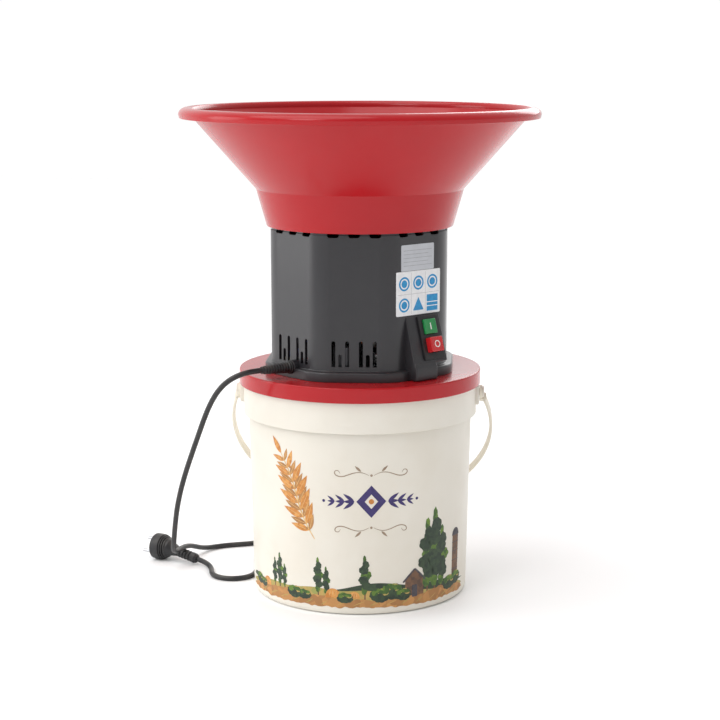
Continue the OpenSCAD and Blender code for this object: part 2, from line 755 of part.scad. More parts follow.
module upper_bracket() {
    hub_h = 12;
    color([0.7, 0.71, 0.73]) difference() {
        union() {
            translate([0, 0, top_plate_z]) linear_extrude(bracket_t) ears_outline(stator_r + 1, leg_r + 2);
            translate([0, 0, top_plate_z]) cylinder(r = top_hub_r, h = hub_h);
            translate([0, 0, iron_top]) around(legs, leg_ring)
                cylinder(r = leg_r, h = top_plate_z - iron_top + past);
        }
        translate([0, 0, top_plate_z - past])
            cylinder(r = top_bearing_r, h = top_bearing_z + top_bearing_w - top_plate_z + past);
        translate([0, 0, top_plate_z]) cylinder(r = top_bearing_r - 2, h = hub_h + past);
        translate([0, 0, iron_top - past]) bolt_holes(top_plate_z);
        around(4, leg_ring - 17, 45) translate([0, 0, top_plate_z - past])
            cylinder(r = 7, h = bracket_t + 2 * past);
    }
}

module bracket_bolts() {
    top = top_plate_z + bracket_t;
    color([0.6, 0.6, 0.62]) around(legs, leg_ring) translate([0, 0, top]) screw(bolt_r, top - lid_top, 4, 3);
}

module stator_core() {
    bore = armature_r + air_gap;
    yoke_in = stator_r - 8;
    neck_half = 13;
    color([0.42, 0.43, 0.45]) translate([0, 0, iron_z]) linear_extrude(iron_h) difference() {
        ears_outline(stator_r, leg_r);
        around(legs, leg_ring) circle(r = bolt_r);
        circle(r = bore);
        difference() {
            circle(r = yoke_in);
            square([2 * neck_half, 2 * stator_r], center = true);
            intersection() {
                circle(r = bore + 5);
                square([2 * bore - 1, 2 * stator_r], center = true);
            }
        }
    }
}

module field_coils() {
    neck_half = 13;
    side = 6;
    out = 8;
    low = armature_r + air_gap + 1.8;
    color([0.72, 0.38, 0.16]) for (turn = [0, 180]) rotate([0, 0, turn]) difference() {
        translate([-neck_half - side, low, iron_z - out])
            cube([2 * (neck_half + side), 4.6, iron_h + 2 * out]);
        translate([-neck_half, low - past, iron_z]) cube([2 * neck_half, 4.6 + 2 * past, iron_h]);
    }
}

brush_w = 8;
brush_z = commutator_z + commutator_h / 2;
holder_in = commutator_r + 3;
holder_out = 40;
brush_turn = 45;

module brush_holders() {
    wall = 2.5;
    color([0.55, 0.42, 0.2]) around(2, 0, brush_turn) difference() {
        translate([holder_in, -brush_w / 2 - wall, brush_z - brush_w / 2 - wall])
            cube([holder_out - holder_in, brush_w + 2 * wall, top_plate_z - brush_z + brush_w / 2 + wall]);
        translate([holder_in - past, -brush_w / 2, brush_z - brush_w / 2])
            cube([holder_out - holder_in + past - wall, brush_w, brush_w]);
    }
}

brush_end = commutator_r + 16;

module carbon_brushes() {
    color([0.16, 0.16, 0.16]) around(2, 0, brush_turn) difference() {
        translate([commutator_r - 2, -brush_w / 2, brush_z - brush_w / 2])
            cube([brush_end - commutator_r + 2, brush_w, brush_w]);
        translate([0, 0, brush_z - brush_w]) cylinder(r = commutator_r + fit, h = 2 * brush_w);
    }
}

module brush_springs() {
    wire = 0.4;
    mean = 2.8;
    turns = 4;
    from = brush_end + wire;
    l = holder_out - 2.5 - wire - from;
    color([0.6, 0.6, 0.62]) around(2, 0, brush_turn) translate([0, 0, brush_z])
        tube([
            for (i = [0:turns * 12]) [from + l * i / (turns * 12), mean * cos(30 * i), mean * sin(30 * i)]
        ], wire, 5);
}

// Bearings: the outer race stays with the bracket and the inner ring turns with the shaft
low_ball_r = 3.2;
low_ball_ring = (low_bearing_r + shaft_r) / 2;
top_ball_r = 2;
top_ball_ring = (top_bearing_r + shaft_top_r) / 2;

module race(outer, inner, w, ball_ring, ball_r) {
    rotate_extrude() difference() {
        translate([inner, 0]) square([outer - inner, w]);
        translate([ball_ring, w / 2]) circle(r = ball_r + fit);
    }
}

module lower_bearing_race() {
    color([0.75, 0.76, 0.78]) translate([0, 0, low_bearing_z])
        race(low_bearing_r, low_ball_ring + low_ball_r / 2, low_bearing_w, low_ball_ring, low_ball_r);
}

module upper_bearing_race() {
    color([0.75, 0.76, 0.78]) translate([0, 0, top_bearing_z])
        race(top_bearing_r, top_ball_ring + top_ball_r / 2, top_bearing_w, top_ball_ring, top_ball_r);
}

module lower_bearing_ring() {
    color([0.75, 0.76, 0.78]) translate([0, 0, low_bearing_z])
        race(low_ball_ring - low_ball_r / 2, shaft_r, low_bearing_w, low_ball_ring, low_ball_r);
}

module upper_bearing_ring() {
    color([0.75, 0.76, 0.78]) translate([0, 0, top_bearing_z])
        race(top_ball_ring - top_ball_r / 2, shaft_top_r, top_bearing_w, top_ball_ring, top_ball_r);
}

module balls(z, ball_ring, ball_r, count) {
    translate([0, 0, z]) {
        around(count, ball_ring) sphere(r = ball_r);
        translate([0, 0, -0.8]) ring(ball_ring + 0.6, ball_ring - 0.6, 1.6);
    }
}

module bearing_balls() {
    color([0.85, 0.85, 0.87]) {
        balls(low_bearing_z + low_bearing_w / 2, low_ball_ring, low_ball_r, 8);
        balls(top_bearing_z + top_bearing_w / 2, top_ball_ring, top_ball_r, 7);
    }
}

thread_r = shaft_r - 1;
blades_top = blade_z + 2 * blade_t;

module rotor_shaft() {
    shoulder = top_bearing_z - 0.5;
    color([0.7, 0.71, 0.73]) rotate_extrude() polygon([
        [0, shaft_low], [thread_r - 1, shaft_low], [thread_r, shaft_low + 1], [thread_r, blades_top],
        [shaft_r, blades_top], [shaft_r, shoulder - 4], [shaft_r - 1.4, shoulder - 4],
        [shaft_r - 1.4, top_bearing_z],
        [shaft_top_r, top_bearing_z], [shaft_top_r, top_bearing_z + top_bearing_w + 1.5],
        [0, top_bearing_z + top_bearing_w + 1.5]
    ]);
}

slots = 12;
slot_in = 12;

module armature_core() {
    color([0.45, 0.46, 0.48]) translate([0, 0, iron_z]) linear_extrude(iron_h) difference() {
        circle(r = armature_r);
        circle(r = shaft_r);
        around(slots, 0) translate([slot_in, -1.5]) square([armature_r, 3]);
    }
}

module armature_winding() {
    end_h = coil_end_h - 2;
    color([0.75, 0.4, 0.17]) difference() {
        union() {
            around(slots, 0) translate([slot_in, -1.5, iron_z - 1])
                cube([armature_r - 1.5 - slot_in, 3, iron_h + 2]);
            translate([0, 0, iron_top]) cylinder(r = armature_r - 1.5, h = end_h);
            translate([0, 0, iron_z - end_h]) cylinder(r = armature_r - 1.5, h = end_h);
        }
        translate([0, 0, iron_z - end_h - past])
            cylinder(r = shaft_r + 1.5, h = iron_h + 2 * end_h + 2 * past);
    }
}

module commutator() {
    bars = 24;
    color([0.8, 0.5, 0.25]) translate([0, 0, commutator_z]) linear_extrude(commutator_h) difference() {
        circle(r = commutator_r);
        circle(r = shaft_r);
        around(bars, 0) translate([commutator_r - 2, -0.35]) square([4, 0.7]);
    }
}

module cooling_fan() {
    vanes = 10;
    color([0.2, 0.2, 0.21]) translate([0, 0, fan_z]) difference() {
        union() {
            cylinder(r = 11, h = fan_h);
            translate([0, 0, fan_h - 1.8]) cylinder(r = fan_r, h = 1.8);
            around(vanes, 0) translate([10, -0.8, 0]) cube([fan_r - 12, 1.6, fan_h - 1]);
        }
        translate([0, 0, -past]) cylinder(r = shaft_r, h = fan_h + 2 * past);
    }
}

module blade_spacer() {
    color([0.7, 0.71, 0.73]) translate([0, 0, blades_top])
        ring(spacer_r, shaft_r, low_bearing_z - blades_top);
}

module blade(z, turn, from) {
    tip = blade_r - 14;
    color([0.78, 0.79, 0.81]) translate([0, 0, z]) rotate([0, 0, turn]) difference() {
        linear_extrude(blade_t) for (s = [0, 180]) rotate([0, 0, s]) polygon([
            [-past, -blade_w / 2], [tip, -blade_w / 2], [blade_r, -blade_w / 6], [blade_r - 2, blade_w / 2],
            [-past, blade_w / 2]
        ]);
        translate([0, 0, -past]) cylinder(r = thread_r, h = blade_t + 2 * past);
        // Ground edge on the leading side of both ends
        for (s = [0, 180]) rotate([0, 0, s]) translate([from, -blade_w / 2 - 0.8, blade_t])
            rotate([-20, 0, 0]) translate([0, -6, 0]) cube([blade_r, 12, 6]);
    }
}

module upper_blade() { blade(blade_z + blade_t, 72, spacer_r + 8); }
module lower_blade() { blade(blade_z, -18, spacer_r + 8); }

module blade_nut() {
    washer_t = 2;
    color([0.6, 0.6, 0.62]) difference() {
        union() {
            translate([0, 0, blade_z - washer_t]) cylinder(r = 10, h = washer_t);
            translate([0, 0, blade_z - nut_h]) cylinder(r = 9, h = nut_h - washer_t, $fn = 6);
        }
        translate([0, 0, blade_z - nut_h - past]) cylinder(r = thread_r, h = nut_h + 2 * past);
    }
}

module shaft_seal() {
    color([0.2, 0.2, 0.2]) translate([0, 0, lid_under - 1.5]) difference() {
        union() {
            cylinder(r = seal_r, h = lid_t + plate_t + 1.5);
            cylinder(r = seal_r + 2, h = 1.5);
        }
        translate([0, 0, -past]) cylinder(r = spacer_r + fit, h = lid_t + plate_t + 1.5 + 2 * past);
    }
}

module sieve_ring() {
    rows = 4;
    per_row = 24;
    row_h = 10;
    color([0.74, 0.75, 0.77]) translate([0, 0, sieve_low]) difference() {
        ring(sieve_r, sieve_r - sieve_t, chamber_depth, $fn = 128);
        for (k = [0:rows - 1]) for (i = [0:per_row - 1])
            rotate([0, 0, (i + 0.5 * (k % 2)) * 360 / per_row]) translate([sieve_r - 4, 0, row_h * (k + 1)])
                rotate([0, 90, 0]) cylinder(r = hole_r, h = 8);
    }
}

module chamber_bottom() {
    color([0.7, 0.71, 0.73]) translate([0, 0, sieve_low - bottom_t]) difference() {
        cylinder(r = tie_ring + 8, h = bottom_t, $fn = 128);
        translate([0, 0, -past]) around(ties, tie_ring, tie_turn)
            cylinder(r = tie_r, h = bottom_t + 2 * past);
    }
}

tie_low = sieve_low - bottom_t - 11;

module chamber_studs() {
    color([0.6, 0.6, 0.62]) around(ties, tie_ring, tie_turn) {
        translate([0, 0, tie_low]) cylinder(r = tie_r, h = lid_top - tie_low + 1);
        translate([0, 0, lid_top]) cylinder(r = tie_r + 3, h = 3, $fn = 6);
    }
}

module wing_nuts() {
    nut_z = sieve_low - bottom_t - 8;
    color([0.6, 0.6, 0.62]) around(ties, tie_ring, tie_turn) translate([0, 0, nut_z])
        difference() {
            union() {
                rotate_extrude() polygon([[0, 0], [5, 0], [6.5, 8], [0, 8]]);
                for (s = [0, 180]) rotate([0, 0, s]) translate([4, 1, 0]) rotate([90, 0, 0])
                    linear_extrude(2) polygon([[0, 6], [10, 2], [12, -6], [8, -7], [4, 1], [0, 1]]);
            }
            translate([0, 0, -past]) cylinder(r = tie_r, h = 8 + 2 * past);
        }
}

// Switch: the frame lies on the slope and the body hangs behind it
module switch_frame() {
    color([0.1, 0.1, 0.11]) on_slope() difference() {
        translate([0, 0, switch_mid]) rotate([90, 0, 90]) linear_extrude(frame_t)
            polygon(plate_shape(frame_w, frame_l, 2.5));
        for (b = [[start_mid, start_l], [stop_mid, stop_l]])
            translate([-past, 0, b[0]]) rotate([90, 0, 90]) linear_extrude(frame_t + 2 * past)
                polygon(plate_shape(button_w + 2 * button_play, b[1] + 2 * button_play, 1.5 + button_play));
    }
}

function plate_shape(w, h, r) = concat(
    arc([w / 2 - r, h / 2 - r], r, 0, 90, 3), arc([r - w / 2, h / 2 - r], r, 90, 180, 3),
    arc([r - w / 2, r - h / 2], r, 180, 270, 3), arc([w / 2 - r, r - h / 2], r, 270, 360, 3)
);

flange_t = 1.5;
flange_w = button_w + 4;
stem_r = 2.5;

module switch_body() {
    well = flange_t + button_travel + 2 * gap;
    w = frame_w - 2 * frame_lap;
    l = frame_l - 2 * frame_lap;
    color([0.16, 0.16, 0.17]) on_slope() difference() {
        translate([-switch_depth, -w / 2, switch_mid - l / 2]) cube([switch_depth, w, l]);
        for (b = [[start_mid, start_l], [stop_mid, stop_l]]) translate([0, 0, b[0]]) {
            translate([-well, -flange_w / 2 - gap, -b[1] / 2 - button_play])
                cube([well + past, flange_w + 2 * gap, b[1] + 2 * button_play]);
            translate([-22, 0, 0]) rotate([0, 90, 0]) cylinder(r = stem_r + 2 * gap, h = 22);
        }
    }
}

// A button: cap, side lugs that hold it under the frame, and a stem into the switch body
module button(l, out) {
    top = frame_t + out;
    inset_t = 1.2;
    translate([-gap, 0, 0]) rotate([90, 0, 90]) linear_extrude(top + gap - inset_t)
        polygon(plate_shape(button_w, l, 1.5));
    translate([top - inset_t - past, 0, 0]) rotate([90, 0, 90]) linear_extrude(inset_t + past)
        polygon(plate_shape(button_w - 2 * inset_t, l - 2 * inset_t, 1));
    translate([-gap - flange_t, -flange_w / 2, -l / 2 + 0.5]) cube([flange_t, flange_w, l - 1]);
    translate([-17, 0, 0]) rotate([0, 90, 0]) cylinder(r = stem_r, h = 17);
}

module start_button() {
    color([0.1, 0.55, 0.25]) on_slope() translate([0, 0, start_mid]) button(start_l, start_out);
}

module stop_button() {
    color([0.8, 0.12, 0.13]) on_slope() translate([0, 0, stop_mid]) button(stop_l, stop_out);
}

cap_x = 93 * cos(262);
cap_y = 93 * sin(262);
cap_h = 44;

module capacitor() {
    r = 15;
    color([0.82, 0.83, 0.85]) translate([cap_x, cap_y, lid_top]) {
        rotate_extrude() polygon([[0, 0], [r, 0], [r, cap_h - 2], [r - 2, cap_h], [0, cap_h]]);
        for (s = [-1, 1]) translate([5 * s - 3, -0.5, cap_h - past]) cube([6, 1, 8 + past]);
    }
}

block_turn = 204;
block_ring = 92;

module terminal_block() {
    color([0.88, 0.87, 0.82]) rotate([0, 0, block_turn]) translate([block_ring, 0, lid_top]) difference() {
        translate([-7, -16, 0]) cube([14, 32, 16]);
        for (k = [-1:1]) translate([0, 10 * k, 10]) cylinder(r = 2.4, h = 10);
        for (k = [-0.5, 0.5]) translate([-9, 10 * k - 0.75, 9]) cube([18, 1.5, 10]);
    }
}

// Leads between the terminal block, the capacitor, the switch and a brush holder
module inner_leads() {
    r = 1.3;
    tb = [block_ring * cos(block_turn), block_ring * sin(block_turn), lid_top + 16];
    along = [-sin(block_turn), cos(block_turn), 0];
    cap = [cap_x, cap_y, lid_top + cap_h];
    back = console_low + (switch_mid - 6) * cos(console_tilt) + switch_depth * sin(-console_tilt);
    deep = house_half + console_out - (switch_mid - 6) * sin(console_tilt)
        - switch_depth * cos(console_tilt);
    face_out = [cos(console_face), sin(console_face), 0];
    face_side = [-sin(console_face), cos(console_face), 0];
    in_way = -cos(console_tilt) * face_out - [0, 0, sin(console_tilt)];
    rear = deep * face_out + switch_shift * face_side + [0, 0, lid_top + back];
    rear_b = rear - 12 * face_side;
    brush_way = [cos(brush_turn), sin(brush_turn), 0];
    color([0.15, 0.3, 0.6]) {
        tube(spline([
            tb + 15 * along, tb + 15 * along + [0, 0, 10], [-72, -68, lid_top + 38.5],
            [-50, -82, lid_top + 54.5], [-12, -74, lid_top + 64.5], [30, -66, lid_top + 58.5],
            rear_b + 16 * in_way, rear_b + 8 * in_way, rear_b
        ], 3), r, 6);
        tube(spline([
            tb - 13 * along, tb - 13 * along + [0, 0, 12], [-80, -34, lid_top + 42.5],
            [-66, -44, lid_top + 72.5], [-54, -50, lid_top + 102.5],
            -(holder_out + 14) * brush_way + [0, 0, brush_z],
            -(holder_out + 5) * brush_way + [0, 0, brush_z],
            -holder_out * brush_way + [0, 0, brush_z]
        ], 3), r, 6);
        tube(spline([
            rear, rear + 6 * in_way, rear + 12 * in_way + [0, 0, 6], [68, -44, lid_top + 68.5],
            [66, -18, lid_top + 90.5], [60, 10, lid_top + 106.5],
            [48, 30, brush_z - 1], (holder_out + 8) * brush_way + [0, 0, brush_z],
            holder_out * brush_way + [0, 0, brush_z]
        ], 3), r, 6);
    }
}

module cord_clamp() {
    color([0.6, 0.6, 0.62]) on_face(cord_face) translate([-house_wall - 5, sleeve_shift, sleeve_z - lid_top])
        rotate([0, 90, 0]) difference() {
            cylinder(r = shank_r + 4.5, h = 5, $fn = 6);
            translate([0, 0, -past]) cylinder(r = shank_r, h = 5 + 2 * past);
        }
}

// A thin skin on the console's face, from low to high and from left to right
module skin(left, right, low, high) {
    rotate([0, 0, console_face]) intersection() {
        translate([0, 0, lid_top + low]) linear_extrude(high - low) difference() {
            polygon(eight(skin_t));
            polygon(eight(0));
        }
        translate([house_half / 2, left, lid_top]) cube([house_half, right - left, house_h]);
    }
}

module rating_plate() {
    color([0.78, 0.79, 0.81]) skin(-31, 25, 138.5, 171.5);
}

module face_sticker() {
    color([0.95, 0.95, 0.95]) skin(-38.5, 36.5, 82, 138);
}

module cord_sleeve() {
    ribs = 9;
    base = 3;
    l = sleeve_l - 1.5 - end_gap;
    color([0.06, 0.06, 0.06]) {
        on_face(cord_face) translate([foot_out, sleeve_shift, sleeve_z - lid_top]) rotate([0, 90, 0]) {
            cylinder(r = sleeve_r + 1, h = base);
            translate([0, 0, -foot_out - house_wall - sleeve_in])
                cylinder(r = shank_r, h = foot_out + house_wall + sleeve_in + 1);
        }
        translate(sleeve_start + 1.5 * sleeve_way) rotate([0, 90, sleeve_turn]) rotate_extrude()
            polygon(concat(
                [[0, 0], [sleeve_r, 0]],
                [for (i = [0:ribs - 1]) for (k = [0, 1])
                    let (z = base + 2 + (i + 0.5 * k) * (sleeve_l - base - 6) / ribs)
                    [sleeve_r + (cord_r + 1.6 - sleeve_r) * z / sleeve_l - (k == 0 ? 0 : 0.9), z]],
                [[cord_r + 1.4, sleeve_l - 3], [cord_r + 1.4, l], [0, l]]
            ));
    }
}

module cord_lead() {
    color([0.06, 0.06, 0.06]) tube(lead_path, cord_r, 8);
}

module cord_coil() {
    color([0.06, 0.06, 0.06]) tube(coil_path, cord_r, 6);
}

module cord_tail() {
    color([0.06, 0.06, 0.06]) tube(tail_path, cord_r, 8);
}

// Stands in the middle of the plug's face: X points along the pins and Y to an earth strip
module on_plug() {
    translate(plug_face) rotate([0, 0, plug_turn]) rotate([plug_roll, 0, 0]) children();
}

module plug_body() {
    neck = neck_end - plug_root;
    l = norm(neck) - end_gap;
    color([0.06, 0.06, 0.06]) {
        on_plug() difference() {
            rotate([0, 90, 0]) rotate_extrude() polygon(concat(
                [[0, -plug_head_l - 2], [plug_r - 6, -plug_head_l - 2]],
                arc([plug_r - 6, 4 - plug_head_l], 6, -70, 0, 4),
                [[plug_r, -1], [plug_r - 1, 0], [0, 0]]
            ));
            for (s = [-1, 1]) {
                translate([-strip_l, s * (plug_r - 0.5) - 1.5, -strip_w / 2])
                    cube([strip_l + past, 3, strip_w]);
                translate([-pin_seat, 0, s * pin_pitch / 2]) rotate([0, 90, 0])
                    cylinder(r = pin_r, h = pin_seat + past);
            }
        }
        translate(plug_root) rotate([0, acos(neck[2] / norm(neck)), atan2(neck[1], neck[0])])
            rotate_extrude() polygon(concat(
                [[0, -2], [13, -2], [12.5, 2], [9.5, 7], [8, 12], [7, 15]],
                [for (k = [0:4]) let (z = 17 + 5 * k)
                    each [[7, z], [5.6, z + 0.5], [5.6, z + 2.5], [7, z + 3]]],
                [[7, l - 4], [6, l - 1.5], [cord_r + 1, l], [0, l]]
            ));
    }
}

module plug_pins() {
    color([0.8, 0.8, 0.82]) on_plug() for (s = [-1, 1]) translate([-pin_seat, 0, s * pin_pitch / 2])
        rotate([0, 90, 0]) rotate_extrude() polygon(concat(
            [[0, 0], [pin_r, 0]],
            arc([pin_r - 1.5, pin_seat + pin_l - 1.5], 1.5, 0, 90, 3),
            [[0, pin_seat + pin_l]]
        ));
}

module plug_earth_strip() {
    color([0.8, 0.8, 0.82]) on_plug() for (s = [-1, 1])
        translate([-strip_l, s * (plug_r - 1.5) - 0.5, -strip_w / 2]) cube([strip_l, 1, strip_w]);
}

bucket();
bail_handle();
lid();
lid_gasket();
motor_housing();
hopper();
feed_tube();
hopper_screws();
lid_screws();
shutter_screw();
feed_shutter();
shutter_knob();
motor_plate();
motor_plate_screws();
lower_bracket();
upper_bracket();
bracket_bolts();
stator_core();
field_coils();
brush_holders();
carbon_brushes();
brush_springs();
lower_bearing_race();
upper_bearing_race();
bearing_balls();
rotor_shaft();
lower_bearing_ring();
upper_bearing_ring();
armature_core();
armature_winding();
commutator();
cooling_fan();
blade_spacer();
upper_blade();
lower_blade();
blade_nut();
shaft_seal();
sieve_ring();
chamber_bottom();
chamber_studs();
wing_nuts();
switch_frame();
switch_body();
start_button();
stop_button();
capacitor();
terminal_block();
inner_leads();
cord_clamp();
rating_plate();
face_sticker();
cord_sleeve();
cord_lead();
cord_coil();
cord_tail();
plug_body();
plug_pins();
plug_earth_strip();
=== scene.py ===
import json
import math
import random
import bmesh
import bpy
from mathutils import Matrix, Vector, noise


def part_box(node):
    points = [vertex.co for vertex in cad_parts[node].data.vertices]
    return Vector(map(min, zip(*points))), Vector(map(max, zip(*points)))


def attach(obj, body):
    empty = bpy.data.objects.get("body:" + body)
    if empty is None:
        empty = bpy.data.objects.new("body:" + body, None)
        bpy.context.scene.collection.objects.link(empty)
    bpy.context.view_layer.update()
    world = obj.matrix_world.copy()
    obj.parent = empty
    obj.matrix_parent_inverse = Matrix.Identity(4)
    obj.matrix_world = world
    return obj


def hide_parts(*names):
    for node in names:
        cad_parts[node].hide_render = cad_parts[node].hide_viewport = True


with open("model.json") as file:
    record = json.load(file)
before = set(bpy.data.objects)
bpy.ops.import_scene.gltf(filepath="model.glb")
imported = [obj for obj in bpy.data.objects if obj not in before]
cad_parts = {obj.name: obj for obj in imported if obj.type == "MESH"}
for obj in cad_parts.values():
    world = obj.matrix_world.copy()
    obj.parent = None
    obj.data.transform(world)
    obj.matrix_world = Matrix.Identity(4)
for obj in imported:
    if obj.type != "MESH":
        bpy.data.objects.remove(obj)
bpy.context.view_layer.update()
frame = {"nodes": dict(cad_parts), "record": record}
print("frame loaded:", len(frame["nodes"]), "nodes")

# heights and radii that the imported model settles
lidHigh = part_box("lid")[1]
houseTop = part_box("motor_housing")[1][2]
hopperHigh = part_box("hopper")[1]
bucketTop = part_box("bucket")[1][2]
lidR, lidTop = lidHigh[0], lidHigh[2]
hopperR, hopperTop = hopperHigh[0], hopperHigh[2]


def addObject(name, data):
    placed = bpy.data.objects.new(name, data)
    bpy.context.collection.objects.link(placed)
    return placed


# camera
view = {
    "distance": 2.363, "height": 0.725, "turn": 3.8, "pitch": 10.07,
    "lens": 90.9, "sensor": 36.0, "clipEnd": 60,
}


def makeCamera():
    data = bpy.data.cameras.new("camera")
    data.lens = view["lens"]
    data.sensor_width = view["sensor"]
    data.clip_end = view["clipEnd"]
    camera = addObject("camera", data)
    turn = math.radians(view["turn"])
    camera.location = (view["distance"] * math.sin(turn), -view["distance"] * math.cos(turn), view["height"])
    camera.rotation_euler = (math.radians(90 - view["pitch"]), 0, turn)
    bpy.context.scene.camera = camera


makeCamera()


# shader helpers
def tint(red, green, blue):
    # screen colour, 0 to 255, to the linear colour that the shader takes
    def linear(c):
        c = c / 255
        return c / 12.92 if c <= 0.04045 else ((c + 0.055) / 1.055) ** 2.4
    return (linear(red), linear(green), linear(blue), 1)


def addNode(tree, kind, feeds=None, **settings):
    # feeds: socket name or number -> value, or the output socket that is linked in
    node = tree.nodes.new("ShaderNode" + kind)
    for name, value in settings.items():
        setattr(node, name, value)
    for name, value in (feeds or {}).items():
        if isinstance(value, bpy.types.NodeSocket):
            tree.links.new(value, node.inputs[name])
        else:
            node.inputs[name].default_value = value
    return node


def newGroup(name, inputs, outputs):
    group = bpy.data.node_groups.new(name, "ShaderNodeTree")
    kinds = {"colour": "NodeSocketColor", "value": "NodeSocketFloat"}
    for label, kind, value in inputs:
        socket = group.interface.new_socket(label, in_out="INPUT", socket_type=kinds[kind])
        socket.default_value = value
    for label, kind in outputs:
        group.interface.new_socket(label, in_out="OUTPUT", socket_type=kinds[kind])
    return group, group.nodes.new("NodeGroupInput").outputs, group.nodes.new("NodeGroupOutput").inputs


def closeGroup(group, out, results):
    for label, value in results.items():
        group.links.new(value, out[label])
    return group


def mixColour(tree, amount, low, high):
    return addNode(tree, "Mix", {0: amount, 6: low, 7: high}, data_type="RGBA").outputs[2]


def mixValue(tree, amount, low, high):
    return addNode(tree, "Mix", {0: amount, 2: low, 3: high}, data_type="FLOAT").outputs[0]


def maths(tree, operation, first, second=0.5):
    return addNode(tree, "Math", {0: first, 1: second}, operation=operation).outputs[0]


def times(tree, first, second):
    return maths(tree, "MULTIPLY", first, second)


def ranged(tree, value, fromLow, fromHigh, toLow=0.0, toHigh=1.0):
    feeds = {"Value": value, "From Min": fromLow, "From Max": fromHigh, "To Min": toLow, "To Max": toHigh}
    return addNode(tree, "MapRange", feeds).outputs[0]


def noiseAt(tree, size, detail=3.0, stretch=None, roughness=0.5):
    # size is the width of a spot in metres: a number, or a socket that carries it
    place = addNode(tree, "TexCoord").outputs["Object"]
    if stretch:
        place = addNode(tree, "Mapping", {"Vector": place, "Scale": stretch}).outputs[0]
    scale = maths(tree, "DIVIDE", 1.0, size)
    feeds = {"Vector": place, "Scale": scale, "Detail": detail, "Roughness": roughness}
    return addNode(tree, "TexNoise", feeds).outputs[0]


# shared effects
def makeMouldTone():
    # broad cloudy differences of colour, as pigment flows in a moulding
    fineSize, fineShare, evened = 0.12, 0.3, 0.77      # evened keeps the two noises' sum within 0 to 1
    group, given, out = newGroup(
        "Mould Tone",
        [("Colour", "colour", (1, 1, 1, 1)), ("Second Colour", "colour", (0, 0, 0, 1)),
         ("Patch Size", "value", 0.05), ("Amount", "value", 0.5)],
        [("Colour", "colour"), ("Patch", "value")])
    broad = ranged(group, noiseAt(group, given["Patch Size"], 4.0), 0.35, 0.65)
    fine = noiseAt(group, times(group, given["Patch Size"], fineSize), 2.0)
    patch = times(group, maths(group, "ADD", broad, times(group, fine, fineShare)), evened)
    colour = mixColour(group, times(group, patch, given["Amount"]), given["Colour"], given["Second Colour"])
    return closeGroup(group, out, {"Colour": colour, "Patch": patch})


def makeMouldGrain():
    # the fine spark texture of a steel mould, and the slow swell of a cooled wall
    group, given, out = newGroup(
        "Mould Grain",
        [("Grain Size", "value", 0.0006), ("Swell Size", "value", 0.06), ("Swell", "value", 0.5)],
        [("Height", "value")])
    grain = noiseAt(group, given["Grain Size"], 2.0)
    swell = noiseAt(group, given["Swell Size"], 1.0)
    return closeGroup(group, out, {"Height": maths(group, "ADD", times(group, swell, given["Swell"]), grain)})


def makeHandlingMarks():
    # worn patches and hairline scratches of use
    streakSize, hair, patches, scratchRough = 0.030, 0.010, 0.05, 0.25
    group, given, out = newGroup(
        "Handling Marks",
        [("Roughness", "value", 0.3), ("Worn Roughness", "value", 0.45), ("Patch Size", "value", 0.04),
         ("Scratches", "value", 0.3)],
        [("Roughness", "value"), ("Scratch", "value")])
    patch = ranged(group, noiseAt(group, given["Patch Size"], 3.0), 0.30, 0.75)
    lines = []
    for stretch in ((1.5, 2.0, 90.0), (70.0, 50.0, 1.2)):
        streak = noiseAt(group, streakSize, 0.0, stretch)
        middle = maths(group, "ABSOLUTE", maths(group, "SUBTRACT", streak, 0.5))
        thin = ranged(group, middle, 0.0, hair, 1.0, 0.0)
        lines.append(times(group, thin, ranged(group, noiseAt(group, patches, 2.0), 0.58, 0.72)))
    scratch = times(group, maths(group, "MAXIMUM", *lines), given["Scratches"])
    worn = mixValue(group, patch, given["Roughness"], given["Worn Roughness"])
    rough = maths(group, "ADD", worn, times(group, scratch, scratchRough))
    return closeGroup(group, out, {"Roughness": rough, "Scratch": scratch})


def makeSettledDust():
    # pale flour dust, thickest on what faces up
    spotSize, dustRough, onWalls = 0.020, 0.85, 0.15
    group, given, out = newGroup(
        "Settled Dust",
        [("Colour", "colour", (1, 1, 1, 1)), ("Roughness", "value", 0.3),
         ("Dust Colour", "colour", tint(214, 204, 186)), ("Amount", "value", 0.2)],
        [("Colour", "colour"), ("Roughness", "value"), ("Dust", "value")])
    normal = addNode(group, "NewGeometry").outputs["Normal"]
    up = ranged(group, addNode(group, "SeparateXYZ", {0: normal}).outputs[2], 0.2, 1.0, onWalls, 1.0)
    spots = ranged(group, noiseAt(group, spotSize, 4.0, roughness=0.6), 0.40, 0.80)
    dust = times(group, times(group, up, spots), given["Amount"])
    return closeGroup(group, out, {
        "Colour": mixColour(group, dust, given["Colour"], given["Dust Colour"]),
        "Roughness": mixValue(group, dust, given["Roughness"], dustRough), "Dust": dust})


def makeWornEdges():
    # edges that hands and cloths have paled
    group, given, out = newGroup(
        "Worn Edges",
        [("Colour", "colour", (1, 1, 1, 1)), ("Worn Colour", "colour", (1, 1, 1, 1)),
         ("Amount", "value", 0.3)],
        [("Colour", "colour"), ("Edge", "value")])
    sharp = ranged(group, addNode(group, "NewGeometry").outputs["Pointiness"], 0.56, 0.68)
    broken = ranged(group, noiseAt(group, 0.004, 4.0), 0.35, 0.6)
    edge = times(group, times(group, sharp, broken), given["Amount"])
    colour = mixColour(group, edge, given["Colour"], given["Worn Colour"])
    return closeGroup(group, out, {"Colour": colour, "Edge": edge})


